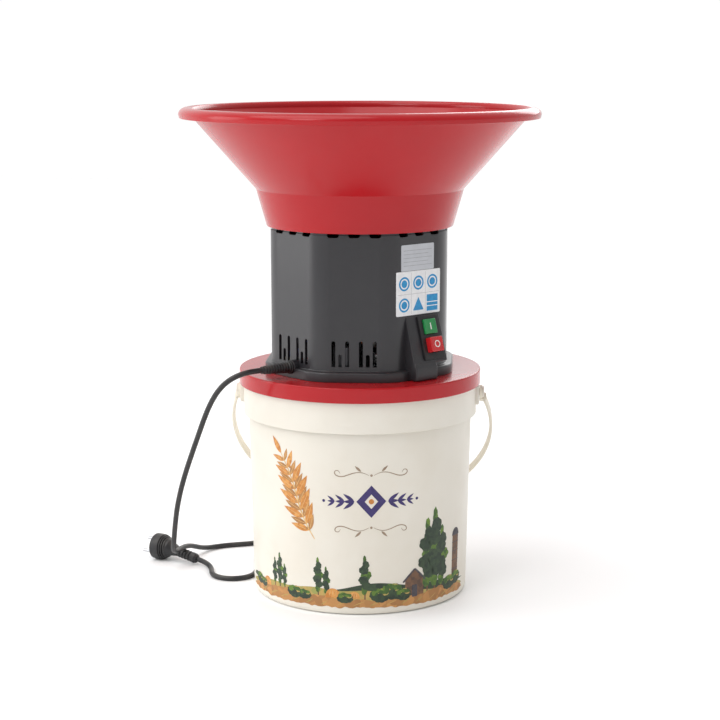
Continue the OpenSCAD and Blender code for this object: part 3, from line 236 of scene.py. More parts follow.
def makeToolLines():
    # the lines that rolling, turning or a wire brush leaves in metal
    group, given, out = newGroup(
        "Tool Lines",
        [("Roughness", "value", 0.3), ("Line Size", "value", 0.02), ("Spread", "value", 0.12)],
        [("Roughness", "value"), ("Height", "value")])
    lines = noiseAt(group, given["Line Size"], 5.0, (1.0, 1.0, 60.0), 0.7)
    shift = times(group, maths(group, "SUBTRACT", lines, 0.5), given["Spread"])
    rough = maths(group, "ADD", given["Roughness"], shift)
    return closeGroup(group, out, {"Roughness": rough, "Height": lines})


effects = {
    "tone": makeMouldTone(), "grain": makeMouldGrain(), "marks": makeHandlingMarks(),
    "dust": makeSettledDust(), "edges": makeWornEdges(), "lines": makeToolLines(),
}


def useEffect(tree, name, feeds):
    return addNode(tree, "Group", feeds, node_tree=effects[name]).outputs


# materials
def newMaterial(name):
    material = bpy.data.materials.new(name)
    material.use_nodes = True
    tree = material.node_tree
    return material, tree, tree.nodes["Principled BSDF"]


def joinSurface(tree, shader, surface, height, look):
    # colour and roughness come from the dust, and the height becomes the bump
    feeds = {"Height": height, "Strength": look["bumpStrength"], "Distance": look["bump"]}
    bump = addNode(tree, "Bump", feeds)
    tree.links.new(surface["Colour"], shader.inputs["Base Color"])
    tree.links.new(surface["Roughness"], shader.inputs["Roughness"])
    tree.links.new(bump.outputs[0], shader.inputs["Normal"])


# colours are screen colours, rough is new and worn, and sizes and bumps are in metres
plasticUsual = {
    "tone": 0.55, "grain": 0.0005, "swell": 0.2, "swellSize": 0.07, "dust": 0.1, "scratches": 0.3,
    "scratchDepth": 0.15, "bumpStrength": 0.5, "edge": 0.35, "coat": 0.0, "coatRough": 0.12, "specular": 0.5,
}
plasticLooks = {
    "bucket_plastic": {
        "colour": (233, 228, 217), "second": (222, 214, 198), "worn": (246, 243, 236), "rough": (0.36, 0.44),
        "patch": 0.09, "grain": 0.0016, "bump": 0.00003, "swell": 1.2, "dust": 0.05, "scratches": 0.0,
        "coat": 0.10, "edge": 0.0},
    "bail_plastic": {
        "colour": (240, 234, 220), "second": (228, 219, 200), "worn": (250, 247, 240), "rough": (0.36, 0.50),
        "patch": 0.05, "grain": 0.0009, "bump": 0.00010, "swell": 0.4, "dust": 0.12},
    "red_plastic": {
        "colour": (182, 19, 28), "second": (170, 16, 25), "worn": (210, 74, 76), "rough": (0.17, 0.23),
        "patch": 0.14, "grain": 0.0030, "bump": 0.000008, "swell": 2.0, "dust": 0.02, "scratches": 0.0,
        "coat": 0.04, "edge": 0.0, "specular": 0.36},
    "black_plastic": {
        "colour": (42, 41, 45), "second": (37, 37, 40), "worn": (96, 96, 100), "rough": (0.32, 0.37),
        "patch": 0.10, "grain": 0.0022, "bump": 0.000012, "swell": 1.6, "dust": 0.03, "scratches": 0.0,
        "coat": 0.06, "edge": 0.0, "specular": 0.58},
    "switch_plastic": {
        "colour": (30, 30, 33), "second": (22, 22, 25), "worn": (92, 92, 96), "rough": (0.36, 0.48),
        "patch": 0.02, "bump": 0.00008, "dust": 0.14},
    "green_key": {
        "colour": (24, 142, 72), "second": (16, 118, 58), "worn": (128, 200, 150), "rough": (0.20, 0.32),
        "patch": 0.012, "bump": 0.00004, "swell": 0.3, "dust": 0.08, "coat": 0.4},
    "red_key": {
        "colour": (205, 26, 34), "second": (178, 18, 26), "worn": (236, 130, 126), "rough": (0.20, 0.32),
        "patch": 0.012, "bump": 0.00004, "swell": 0.3, "dust": 0.08, "coat": 0.4},
    "seal_rubber": {
        "colour": (96, 96, 98), "second": (78, 78, 80), "worn": (130, 130, 130), "rough": (0.62, 0.76),
        "patch": 0.02, "grain": 0.0006, "bump": 0.00015, "swell": 0.3, "dust": 0.2, "scratches": 0.1},
    "cord_rubber": {
        "colour": (31, 31, 34), "second": (25, 25, 27), "worn": (78, 78, 82), "rough": (0.40, 0.52),
        "patch": 0.03, "grain": 0.0007, "bump": 0.00010, "swell": 0.3, "dust": 0.16, "scratches": 0.2},
    "carbon": {
        "colour": (48, 48, 50), "second": (34, 34, 36), "worn": (90, 90, 92), "rough": (0.55, 0.7),
        "patch": 0.006, "grain": 0.0004, "bump": 0.0001, "scratches": 0.4},
    "lead_plastic": {
        "colour": (38, 70, 158), "second": (28, 54, 132), "worn": (110, 130, 190), "rough": (0.35, 0.5),
        "patch": 0.01, "bump": 0.00005, "scratches": 0.1},
    "ivory_plastic": {
        "colour": (224, 218, 198), "second": (210, 202, 178), "worn": (240, 236, 224), "rough": (0.4, 0.55),
        "patch": 0.015, "bump": 0.00008, "dust": 0.12, "scratches": 0.2},
}


def makePlastic(name, look):
    look = {**plasticUsual, **look}
    material, tree, shader = newMaterial(name)
    tone = useEffect(tree, "tone", {
        "Colour": tint(*look["colour"]), "Second Colour": tint(*look["second"]), "Patch Size": look["patch"],
        "Amount": look["tone"]})
    edges = useEffect(tree, "edges", {
        "Colour": tone["Colour"], "Worn Colour": tint(*look["worn"]), "Amount": look["edge"]})
    marks = useEffect(tree, "marks", {
        "Roughness": look["rough"][0], "Worn Roughness": look["rough"][1], "Patch Size": look["patch"],
        "Scratches": look["scratches"]})
    dust = useEffect(tree, "dust", {
        "Colour": edges["Colour"], "Roughness": marks["Roughness"], "Amount": look["dust"]})
    grain = useEffect(tree, "grain", {
        "Grain Size": look["grain"], "Swell Size": look["swellSize"], "Swell": look["swell"]})
    scratched = times(tree, marks["Scratch"], look["scratchDepth"])
    joinSurface(tree, shader, dust, maths(tree, "SUBTRACT", grain["Height"], scratched), look)
    shader.inputs["Coat Weight"].default_value = look["coat"]
    shader.inputs["Coat Roughness"].default_value = look["coatRough"]
    shader.inputs["Specular IOR Level"].default_value = look["specular"]
    return material


metalUsual = {"tone": 0.5, "patch": 0.015, "bumpStrength": 0.4, "metallic": 1.0, "dust": 0.1}
metalLooks = {
    "steel": {"colour": (176, 178, 182), "second": (150, 152, 156), "rough": 0.30, "spread": 0.16,
              "bump": 0.00005, "line": 0.02, "dust": 0.12},
    "plated_steel": {"colour": (206, 208, 212), "second": (188, 190, 194), "rough": 0.16, "spread": 0.08,
                     "bump": 0.00002, "line": 0.01, "dust": 0.06},
    "alloy": {"colour": (112, 114, 118), "second": (92, 94, 98), "rough": 0.55, "spread": 0.1,
              "bump": 0.0001, "line": 0.03},
    "iron": {"colour": (92, 94, 98), "second": (74, 72, 72), "rough": 0.5, "spread": 0.2,
             "bump": 0.0001, "line": 0.004},
    "copper": {"colour": (196, 112, 62), "second": (150, 74, 38), "rough": 0.32, "spread": 0.2,
               "bump": 0.00012, "line": 0.003, "dust": 0.05},
    "brass": {"colour": (198, 168, 98), "second": (166, 134, 70), "rough": 0.3, "spread": 0.12,
              "bump": 0.00004, "line": 0.01, "dust": 0.08},
    "label_foil": {"colour": (196, 198, 203), "second": (178, 180, 186), "rough": 0.42, "spread": 0.1,
                   "bump": 0.00002, "line": 0.02, "dust": 0.05, "metallic": 0.75},
}


def makeMetal(name, look):
    look = {**metalUsual, **look}
    material, tree, shader = newMaterial(name)
    tone = useEffect(tree, "tone", {
        "Colour": tint(*look["colour"]), "Second Colour": tint(*look["second"]), "Patch Size": look["patch"],
        "Amount": look["tone"]})
    lines = useEffect(tree, "lines", {
        "Roughness": look["rough"], "Line Size": look["line"], "Spread": look["spread"]})
    dust = useEffect(tree, "dust", {
        "Colour": tone["Colour"], "Roughness": lines["Roughness"], "Amount": look["dust"]})
    joinSurface(tree, shader, dust, lines["Height"], look)
    shader.inputs["Metallic"].default_value = look["metallic"]
    return material


inkUsual = {"dabShare": 0.85, "patches": 4, "tone": 0.5, "worn": 0.1, "markSize": 0.02, "scratches": 0.2}
inkLooks = {
    # first colour, second colour, roughness, width of a dab in metres
    "label_paper": ((240, 241, 242), (230, 232, 234), 0.34, 0.004),
    "ink_white": ((246, 246, 244), (232, 232, 228), 0.4, 0.002),
    "ink_blue": ((30, 152, 208), (24, 134, 192), 0.34, 0.003),
    "ink_grey": ((150, 152, 156), (136, 138, 142), 0.45, 0.002),
    "ink_navy": ((64, 52, 112), (52, 42, 98), 0.42, 0.006),
    "ink_brown": ((166, 146, 124), (146, 124, 102), 0.5, 0.004),
    "ink_gold": ((226, 164, 88), (190, 118, 50), 0.45, 0.0035),
    "ink_straw": ((232, 196, 136), (206, 160, 96), 0.45, 0.004),
    "ink_ochre": ((206, 150, 88), (160, 112, 66), 0.5, 0.009),
    "ink_meadow": ((152, 156, 84), (196, 160, 92), 0.5, 0.010),
    "ink_leaf": ((110, 142, 52), (52, 84, 42), 0.5, 0.0045),
    "ink_pine": ((62, 82, 56), (40, 54, 44), 0.5, 0.004),
    "ink_brick": ((128, 92, 66), (84, 66, 56), 0.5, 0.005),
    "ink_slate": ((82, 78, 84), (60, 58, 64), 0.5, 0.004),
}


def makeInk(name, look):
    # print on plastic: dabs of two inks, and the sheen of the varnish over them
    usual, (first, second, rough, fleck) = inkUsual, look
    first, second = tint(*first), tint(*second)
    material, tree, shader = newMaterial(name)
    place = addNode(tree, "TexCoord").outputs["Object"]
    dabs = addNode(tree, "TexVoronoi", {"Vector": place, "Scale": 1 / fleck, "Randomness": 1.0})
    dab = ranged(tree, addNode(tree, "SeparateColor", {0: dabs.outputs["Color"]}).outputs[0], 0.2, 0.8)
    tone = useEffect(tree, "tone", {
        "Colour": mixColour(tree, times(tree, dab, usual["dabShare"]), first, second),
        "Second Colour": second, "Patch Size": fleck * usual["patches"], "Amount": usual["tone"]})
    marks = useEffect(tree, "marks", {
        "Roughness": rough, "Worn Roughness": rough + usual["worn"], "Patch Size": usual["markSize"],
        "Scratches": usual["scratches"]})
    tree.links.new(tone["Colour"], shader.inputs["Base Color"])
    tree.links.new(marks["Roughness"], shader.inputs["Roughness"])
    return material


materials = {name: makePlastic(name, look) for name, look in plasticLooks.items()}
materials.update({name: makeMetal(name, look) for name, look in metalLooks.items()})
materials.update({name: makeInk(name, look) for name, look in inkLooks.items()})

# every node that stays gets the finish of its slot in the record
for row in frame["record"]["subparts"]:
    shown = frame["nodes"][row["node"]]
    shown.data.materials.clear()
    shown.data.materials.append(materials[row["material_slot"]])
print("materials made:", len(materials))


# mesh helpers
def addPiece(name, mesh, finish, body, replaced=(), cutters=(), limit=34):
    # cutters are meshes that are taken out of it; edges under the limit, in degrees, shade smooth
    piece = addObject(name, mesh)
    piece.data.materials.append(materials[finish])
    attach(piece, body)
    if replaced:
        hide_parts(*replaced)
    if cutters:
        cutOut(piece, joinMeshes("cutter", cutters))
    if piece.type == "MESH":
        shade(piece, limit)
    return piece


def meshOf(name, points, faces):
    mesh = bpy.data.meshes.new(name)
    mesh.from_pydata([tuple(p) for p in points], [], faces)
    return mesh


def shade(piece, limit):
    # smooth where faces meet softly, crisp where they meet at more than the limit
    built = bmesh.new()
    built.from_mesh(piece.data)
    bmesh.ops.recalc_face_normals(built, faces=built.faces)
    for face in built.faces:
        face.smooth = True
    for edge in built.edges:
        edge.smooth = len(edge.link_faces) != 2 or edge.calc_face_angle(0) < math.radians(limit)
    built.to_mesh(piece.data)
    built.free()
    piece.modifiers.new("even light", "WEIGHTED_NORMAL").keep_sharp = True


def rounded(corners, steps=5):
    # corners are (x, y) or (x, y, radius); one with a radius turns into an arc that meets both its sides
    longest = 0.48                       # the share of a side that an arc may take
    points = []
    for i, (x, y, *radius) in enumerate(corners):
        if not radius or radius[0] <= 0:
            points.append((x, y))
            continue
        here = Vector((x, y))
        back = Vector(corners[i - 1][:2]) - here
        on = Vector(corners[(i + 1) % len(corners)][:2]) - here
        half = back.angle(on) / 2
        reach = min(radius[0] / math.tan(half), longest * back.length, longest * on.length)
        arcR = reach * math.tan(half)
        centre = here + (back.normalized() + on.normalized()).normalized() * arcR / math.sin(half)
        first = here + back.normalized() * reach - centre
        last = here + on.normalized() * reach - centre
        swing = first.angle(last)
        for k in range(steps + 1):
            t = k / steps
            spot = (first * math.sin((1 - t) * swing) + last * math.sin(t * swing)) / math.sin(swing)
            points.append(tuple(centre + spot))
    return points


def latheMesh(name, corners, turns, steps=5):
    # a closed outline of (radius, height) turned about Z; a point on the axis stays single
    points, rings = [], []
    for radius, height in rounded(corners, steps):
        if radius < 1e-6:
            rings.append([len(points)] * turns)
            points.append((0, 0, height))
            continue
        rings.append(list(range(len(points), len(points) + turns)))
        for k in range(turns):
            a = 2 * math.pi * k / turns
            points.append((radius * math.cos(a), radius * math.sin(a), height))
    faces = []
    for i, low in enumerate(rings):
        high = rings[(i + 1) % len(rings)]
        for k in range(turns):
            n = (k + 1) % turns
            corners = [low[k], low[n], high[n], high[k]]
            face = [v for j, v in enumerate(corners) if v not in corners[:j]]
            if len(face) > 2:
                faces.append(face)
    return meshOf(name, points, faces)


def moved(mesh, matrix):
    mesh.transform(matrix)
    return mesh


def aroundX(corners, turns=40, steps=5):
    return moved(latheMesh("turned", corners, turns, steps), Matrix.Rotation(math.pi / 2, 4, "Y"))


def loftMesh(name, rows, closed=False):
    # rows of points, as many in each; closed joins the last row to the first, else both ends are filled
    count = len(rows[0])
    points = [p for row in rows for p in row]
    faces = []
    for i in range(len(rows) if closed else len(rows) - 1):
        low, high = i * count, (i + 1) % len(rows) * count
        faces += [(low + k, low + (k + 1) % count, high + (k + 1) % count, high + k) for k in range(count)]
    if not closed:
        faces += [tuple(range(count))[::-1], tuple(range(len(points) - count, len(points)))]
    return meshOf(name, points, faces)


def joinMeshes(name, meshes):
    built = bmesh.new()
    for mesh in meshes:
        built.from_mesh(mesh)
        bpy.data.meshes.remove(mesh)
    joined = bpy.data.meshes.new(name)
    built.to_mesh(joined)
    built.free()
    return joined


def cutOut(piece, cutter):
    # takes the cutter's solids out of the piece
    tool = addObject("cutter", cutter)
    cut = piece.modifiers.new("cut", "BOOLEAN")
    cut.object = tool
    cut.operation = "DIFFERENCE"
    cut.solver = "EXACT"
    bpy.context.view_layer.update()
    whole = piece.data
    piece.data = bpy.data.meshes.new_from_object(piece.evaluated_get(bpy.context.evaluated_depsgraph_get()))
    piece.modifiers.clear()
    bpy.data.meshes.remove(whole)
    bpy.data.objects.remove(tool)


def prism(outline, low, high):
    # an outline of (y, z) drawn out along X
    return loftMesh("prism", [[(x, y, z) for y, z in outline] for x in (low, high)])


def softSlab(outlineAt, rows):
    # rows of (inset, x): the outline shrinks by the inset at each x
    return loftMesh("slab", [[(x, y, z) for y, z in outlineAt(inset)] for inset, x in rows])


def box(left, right, low, high, radius=0.001, steps=4):
    return rounded([(left, low, radius), (right, low, radius), (right, high, radius), (left, high, radius)],
                   steps)


def plateShape(width, height, radius, steps=5):
    return box(-width / 2, width / 2, -height / 2, height / 2, radius, steps)


def disc(radius, steps=24, x=0.0, y=0.0):
    return [(x + radius * math.cos(2 * math.pi * k / steps), y + radius * math.sin(2 * math.pi * k / steps))
            for k in range(steps)]


def posts(radius, low, high, spots, steps=32):
    # upright round pins, one at each spot
    return [loftMesh("post", [[(px, py, z) for px, py in disc(radius, steps, *spot)] for z in (low, high)])
            for spot in spots]


def ringOf(ring, count=4, turn=22.5):
    angles = [math.radians(turn + 360 * k / count) for k in range(count)]
    return [(ring * math.cos(a), ring * math.sin(a)) for a in angles]


def sweepMesh(name, path, section, sideways):
    # a closed section of (along sideways, along the third way) carried along a path
    rows = []
    for i, here in enumerate(path):
        way = (path[min(i + 1, len(path) - 1)] - path[max(i - 1, 0)]).normalized()
        third = way.cross(sideways).normalized()
        rows.append([here + sideways * u + third * v for u, v in section])
    return loftMesh(name, rows)


# mains lead
lead = {
    "diameter": 0.007, "length": 1.545, "sides": 5,
    "sleeveTurn": -142.3, "sleeveLength": 0.043,
    "sleeveStart": (-0.0831556, -0.0888125, 0.311),   # middle of the gland on the housing's foot
    "straightOut": 0.017, "straightBack": 0.009,
    "down": [
        (-0.147, -0.134, 0.307), (-0.162, -0.134, 0.297), (-0.175, -0.125, 0.281), (-0.188, -0.108, 0.257),
        (-0.200, -0.089, 0.228), (-0.213, -0.069, 0.196), (-0.226, -0.051, 0.163), (-0.237, -0.033, 0.131),
        (-0.245, -0.017, 0.101), (-0.250, -0.004, 0.074), (-0.254, 0.008, 0.049), (-0.258, 0.026, 0.032),
        (-0.258, 0.050, 0.0245), (-0.252, 0.074, 0.025), (-0.245, 0.096, 0.0205), (-0.239, 0.116, 0.0125),
        (-0.231, 0.136, 0.0055), (-0.218, 0.151, 0.0035), (-0.200, 0.161, 0.0035), (-0.180, 0.167, 0.0035),
        (-0.160, 0.175, 0.0035), (-0.149, 0.190, 0.0035), (-0.143, 0.206, 0.0035)],
    "coilR": 0.0365, "coilPitch": 0.0075, "coilStep": 15, "coilTurns": 2,
    "back": [
        (-0.129, 0.1535, 0.0105), (-0.140, 0.146, 0.009), (-0.148, 0.134, 0.007), (-0.152, 0.119, 0.005),
        (-0.1515, 0.103, 0.004), (-0.1495, 0.086, 0.0035), (-0.1472, 0.068, 0.0035),
        (-0.1454, 0.052, 0.0035), (-0.1446, 0.039, 0.0035), (-0.145, 0.027, 0.0035),
        (-0.1474, 0.0154, 0.0035), (-0.1535, 0.0055, 0.0035), (-0.163, -0.0012, 0.0035),
        (-0.1742, -0.0037, 0.0035), (-0.1855, -0.0019, 0.0035), (-0.1952, 0.004, 0.0035),
        (-0.2017, 0.013, 0.0035), (-0.205, 0.0235, 0.0035), (-0.2066, 0.0335, 0.0035),
        (-0.2086, 0.043, 0.0036), (-0.2117, 0.0515, 0.0042), (-0.2167, 0.059, 0.0055),
        (-0.2236, 0.065, 0.0068), (-0.2315, 0.069, 0.0085)],
}


def smoothRoute(points, cuts=6):
    # a cubic B-spline pulled by its points, from the first of them to the last
    every = [2 * points[0] - points[1], *points, 2 * points[-1] - points[-2]]
    route = []
    for i in range(len(points) - 1):
        a, b, c, d = every[i:i + 4]
        for k in range(cuts):
            t = k / cuts
            route.append(((1 - t) ** 3 * a + (3 * t ** 3 - 6 * t * t + 4) * b
                          + (-3 * t ** 3 + 3 * t * t + 3 * t + 1) * c + t ** 3 * d) / 6)
    return route + [points[-1]]


def coilRoute(last, before):
    # two layers: it spirals in, climbs where the spiral turns back, and spirals out
    way = (last - before).normalized()
    start = last + lead["diameter"] * way
    angle = math.atan2(way.y, way.x) + math.pi / 2
    turn = angle + math.pi / 2 + 2 * math.pi * lead["coilTurns"]
    outer = lead["coilR"] + lead["coilPitch"] * turn / 4 / (2 * math.pi)
    centre = start + Vector((outer * way.y, -outer * way.x, 0))
    steps = math.ceil(math.degrees(turn) / lead["coilStep"]) * 2
    route = []
    for i in range(steps + 1):
        turned = i * turn / steps
        radius = outer - lead["coilPitch"] * (turn / 2 - abs(turn / 2 - turned)) / (2 * math.pi)
        climb = min(1, max(0, (turned - turn / 2 + math.pi / 2) / math.pi))
        a = angle - turned
        rise = lead["coilPitch"] * climb * climb * (3 - 2 * climb)
        route.append(centre + Vector((radius * math.cos(a), radius * math.sin(a), rise)))
    return route


def makeLead():
    turn = math.radians(lead["sleeveTurn"])
    way = Vector((math.cos(turn), math.sin(turn), 0))
    tip = Vector(lead["sleeveStart"]) + lead["sleeveLength"] * way
    down = [tip, tip + lead["straightOut"] * way, *map(Vector, lead["down"])]
    coil = coilRoute(down[-1], down[-2])
    end = coil[-1] - Vector((lead["diameter"], 0, 0))
    back = [end, end - Vector((lead["straightBack"], 0, 0)), *map(Vector, lead["back"])]
    route = smoothRoute(down) + coil + smoothRoute(back)
    curve = bpy.data.curves.new("mains_lead", "CURVE")
    curve.dimensions = "3D"
    curve.bevel_depth = lead["diameter"] / 2
    curve.bevel_resolution = lead["sides"]
    curve.use_fill_caps = True
    spline = curve.splines.new("POLY")
    spline.points.add(len(route) - 1)
    for spot, place in zip(spline.points, route):
        spot.co = (*place, 1)
    spline.use_smooth = True
    piece = addPiece("mains_lead", curve, "cord_rubber", "head",
                     replaced=("cord_lead", "cord_coil", "cord_tail"))
    makeSleeve()
    makePlug()


# hopper
hopper = {
    "neckR": 0.12128, "neckWall": 0.0024, "neckDrop": 0.0055, "floor": 0.003, "floorR": 0.1208,
    "wall": 0.0028,
    "flareR": 0.135, "flareHeight": 0.0425,      # crease between the steep neck and the wide cone
    "mouthR": 0.216, "mouthDrop": 0.0096, "lip": 0.0137,
    "beadWide": 0.0115, "beadTall": 0.0088, "beadInner": 0.0066, "beadStep": 10, "turns": 224,
    "feedR": 0.014, "feedAt": (-0.04384, 0.04384), "pivotR": 0.0025, "pivotAt": (-0.02484, 0.07675),
    "screwR": 0.002, "screwRing": 0.11028, "holeLow": 0.004, "holeHigh": 0.008, "holeSteps": 48,
}


def makeHopper():
    h, base, top = hopper, houseTop, hopperTop
    wall, outer = h["wall"], h["mouthR"] + h["wall"]
    low, flare = base - h["neckDrop"], base + h["flareHeight"]
    inner = h["neckR"] - h["neckWall"]
    crownR = hopperR - h["beadWide"]         # where the bead is highest
    turns = [math.radians(a) for a in range(0, 91, h["beadStep"])]
    bead = [(crownR + h["beadWide"] * math.cos(a), top - h["beadTall"] * (1 - math.sin(a))) for a in turns]
    bead += [(crownR - (crownR - h["mouthR"]) * math.sin(a), top - h["beadInner"] * (1 - math.cos(a)))
             for a in turns[1:]]
    outline = [
        (0, base), (inner, base, 0.0003), (inner, low, 0.0006), (h["neckR"], low, 0.0010),
        (h["flareR"], flare, 0.0022), (outer, top - h["mouthDrop"], 0.006),
        (outer, top - wall, 0.0015), (hopperR - wall, top - wall, 0.004),
        (hopperR - wall, top - h["lip"], 0.0005), (hopperR - 0.0010, top - h["lip"], 0.0016),
        *bead, (h["mouthR"], top - h["mouthDrop"] + 0.00106, 0.006),
        (h["flareR"] - 0.00252, flare + 0.00138, 0.003),
        (h["floorR"], base + h["floor"], 0.004), (0, base + h["floor"])]
    low, high = base - h["holeLow"], base + h["holeHigh"]
    holes = posts(h["feedR"], low, high, [h["feedAt"]], h["holeSteps"])
    holes += posts(h["pivotR"], low, high, [h["pivotAt"]])
    holes += posts(h["screwR"], low, high, ringOf(h["screwRing"]))
    addPiece("hopper_shell", latheMesh("hopper_shell", outline, h["turns"]), "red_plastic", "head",
             replaced=("hopper",), cutters=holes)


makeHopper()
print("hopper made")

# lid
lidSizes = {
    "under": 0.0030, "skirt": 0.0195, "skirtWall": 0.0025, "edge": 0.0020, "turns": 224,
    "sealR": 0.014, "plateRing": 0.062, "tieR": 0.003, "tieRing": 0.090, "past": 0.004,
}


def makeLid():
    s, holeSteps = lidSizes, hopper["holeSteps"]
    under, low, inner = lidTop - s["under"], lidTop - s["skirt"], lidR - s["skirtWall"]
    outline = [(0, under), (inner, under, 0.0012), (inner, low, 0.0005), (lidR, low, 0.0009),
               (lidR, lidTop, s["edge"]), (0, lidTop)]
    low, high = under - s["past"], lidTop + s["past"]
    holes = posts(s["sealR"], low, high, [(0, 0)], holeSteps)
    holes += posts(hopper["feedR"], low, high, [hopper["feedAt"]], holeSteps)
    holes += posts(hopper["screwR"], low, high, ringOf(hopper["screwRing"]))
    holes += posts(hopper["screwR"], low, high, ringOf(s["plateRing"], 4, 0))
    holes += posts(s["tieR"], low, high, ringOf(s["tieRing"], 3, 60))
    addPiece("lid_shell", latheMesh("lid_shell", outline, s["turns"]), "red_plastic", "head",
             replaced=("lid",), cutters=holes)


makeLid()
print("lid made")

# housing
housing = {
    "half": 0.1134, "corner": 0.042, "wall": 0.003, "footOut": 0.0082, "footHeight": 0.0125,
    "footEdge": 0.0026, "spigotIn": 0.0012, "spigotHeight": 0.008, "arcSteps": 10,
    "ventWidth": 0.0146, "ventHeight": 0.008, "ventPitch": 0.0264, "ventLow": 0.011, "ventEdge": 0.003,
    "ventDeep": 0.012, "slotWidth": 0.005, "slotPitch": 0.0087, "slotGroup": 0.0347, "slotLong": 0.033,
    "slotShort": 0.016, "slotLow": 0.0185, "slotArch": 0.96, "slotIn": 0.006, "slotOut": 0.004,
    "postR": 0.007, "postGap": 0.0002, "bossR": 0.009, "bossShift": 0.004, "bossHeight": 0.0135,
    "consoleFace": -45, "cordFace": -135,
}
console = {
    "width": 0.057, "shift": 0.005, "out": 0.0187, "topOut": 0.0009, "low": 0.0215, "high": 0.0805,
    "chinWidth": 0.037, "chinOut": 0.0216, "chinHeight": 0.0165, "chinLap": 0.004, "edge": 0.0022,
    "frameWidth": 0.034, "frameLength": 0.057, "frameThick": 0.003, "frameLap": 0.002,
    "switchShift": 0.0105, "buttonWidth": 0.0205, "startLength": 0.0195, "stopLength": 0.019,
    "startOut": 0.003, "stopOut": 0.009, "buttonGap": 0.0045, "play": 0.0004,
    "windowDeep": 0.060, "windowOut": 0.002,
}
tilt = math.atan((console["out"] - console["topOut"]) / (console["high"] - console["low"]))
slopeLength = (console["high"] - console["low"]) / math.cos(tilt)
switchMid = slopeLength - console["frameLength"] / 2 - 0.001
buttonsTop = switchMid + 0.002 + (console["startLength"] + console["stopLength"] + console["buttonGap"]) / 2
startMid = buttonsTop - console["startLength"] / 2
stopMid = buttonsTop - console["startLength"] - console["buttonGap"] - console["stopLength"] / 2


def onFace(turn):
    # X points out of the face, Y along it, Z up from the lid
    return Matrix.Rotation(math.radians(turn), 4, "Z") @ Matrix.Translation((housing["half"], 0, lidTop))


# X points out of the console's slope and Z runs up along it
onSlope = (onFace(housing["consoleFace"])
           @ Matrix.Translation((console["out"], console["switchShift"], console["low"]))
           @ Matrix.Rotation(-tilt, 4, "Y"))


def eightSided(grow, height):
    # the housing's outline: eight flats and rounded corners
    h = housing
    reach = (h["half"] - h["corner"]) / math.cos(math.pi / 8)
    radius, steps = h["corner"] + grow, h["arcSteps"]
    row = []
    for i in range(8):
        a = (i + 0.5) * math.pi / 4
        for k in range(steps + 1):
            b = a + (k / steps - 0.5) * math.pi / 4
            row.append((reach * math.cos(a) + radius * math.cos(b),
                        reach * math.sin(a) + radius * math.sin(b), height))
    return row


def bevelled(mesh, width, limit=30, segments=4):
    built = bmesh.new()
    built.from_mesh(mesh)
    bmesh.ops.recalc_face_normals(built, faces=built.faces)
    sharp = [e for e in built.edges
             if len(e.link_faces) == 2 and e.calc_face_angle(0) > math.radians(limit)]
    bmesh.ops.bevel(built, geom=sharp, offset=width, segments=segments, profile=0.5, affect="EDGES",
                    clamp_overlap=True)
    built.to_mesh(mesh)
    built.free()
    return mesh


def ventTools():
    # three vents under the top of each face, and two groups of slots low on each but the console's
    h = housing
    w, tall = h["ventWidth"] / 2, h["ventHeight"]
    tray = rounded([(-w, 0, h["ventEdge"]), (w, 0, h["ventEdge"]), (w, tall), (-w, tall)])
    half = h["slotWidth"] / 2
    tools = []
    for i in range(8):
        face = onFace(45 * i)
        for k in (-1, 0, 1):
            spot = Matrix.Translation((0, k * h["ventPitch"], houseTop - lidTop - h["ventLow"]))
            tools.append(moved(prism(tray, -h["ventDeep"], h["ventDeep"]), face @ spot))
        if 45 * i == h["consoleFace"] + 360:
            continue
        for side in (-1, 1):
            for k in (-1, 0, 1):
                tall, arch = h["slotShort"] if k == 0 else h["slotLong"], half * h["slotArch"]
                slot = rounded([(-half, 0), (half, 0), (half, tall, arch), (-half, tall, arch)])
                spot = Matrix.Translation((0, side * h["slotGroup"] / 2 + k * h["slotPitch"], h["slotLow"]))
                tools.append(moved(prism(slot, -h["slotIn"], h["slotOut"]), face @ spot))
    return tools


def switchWindow():
    c = console
    outline = plateShape(c["frameWidth"] - 2 * c["frameLap"], c["frameLength"] - 2 * c["frameLap"], 0.001)
    return moved(prism(outline, -c["windowDeep"], c["windowOut"]),
                 onSlope @ Matrix.Translation((0, 0, switchMid)))


def makeHousing():
    h, height = housing, houseTop - lidTop
    foot, spigot = h["footOut"], -h["spigotIn"]
    wallLine = rounded([
        (foot, 0, 0.0006), (foot, h["footHeight"], h["footEdge"]), (0, h["footHeight"], 0.0016),
        (0, height - h["spigotHeight"], 0.0004), (spigot, height - h["spigotHeight"], 0.0002),
        (spigot, height, 0.0006), (-h["wall"], height, 0.0004), (-h["wall"], 0)], 4)
    mesh = loftMesh("housing_shell", [eightSided(grow, lidTop + z) for grow, z in wallLine], closed=True)
    addPiece("housing_shell", mesh, "black_plastic", "head", replaced=("motor_housing",),
             cutters=ventTools() + [switchWindow()], limit=30)
    boss = aroundX([(0, -h["wall"]), (h["bossR"], -h["wall"]), (h["bossR"], foot, 0.001), (0, foot)], 48)
    place = onFace(h["cordFace"]) @ Matrix.Translation((0, h["bossShift"], h["bossHeight"]))
    inner = [moved(boss, place)]
    inner += posts(h["postR"], lidTop + h["postGap"], houseTop - h["postGap"], ringOf(hopper["screwRing"]))
    addPiece("housing_posts", joinMeshes("housing_posts", inner), "black_plastic", "head")


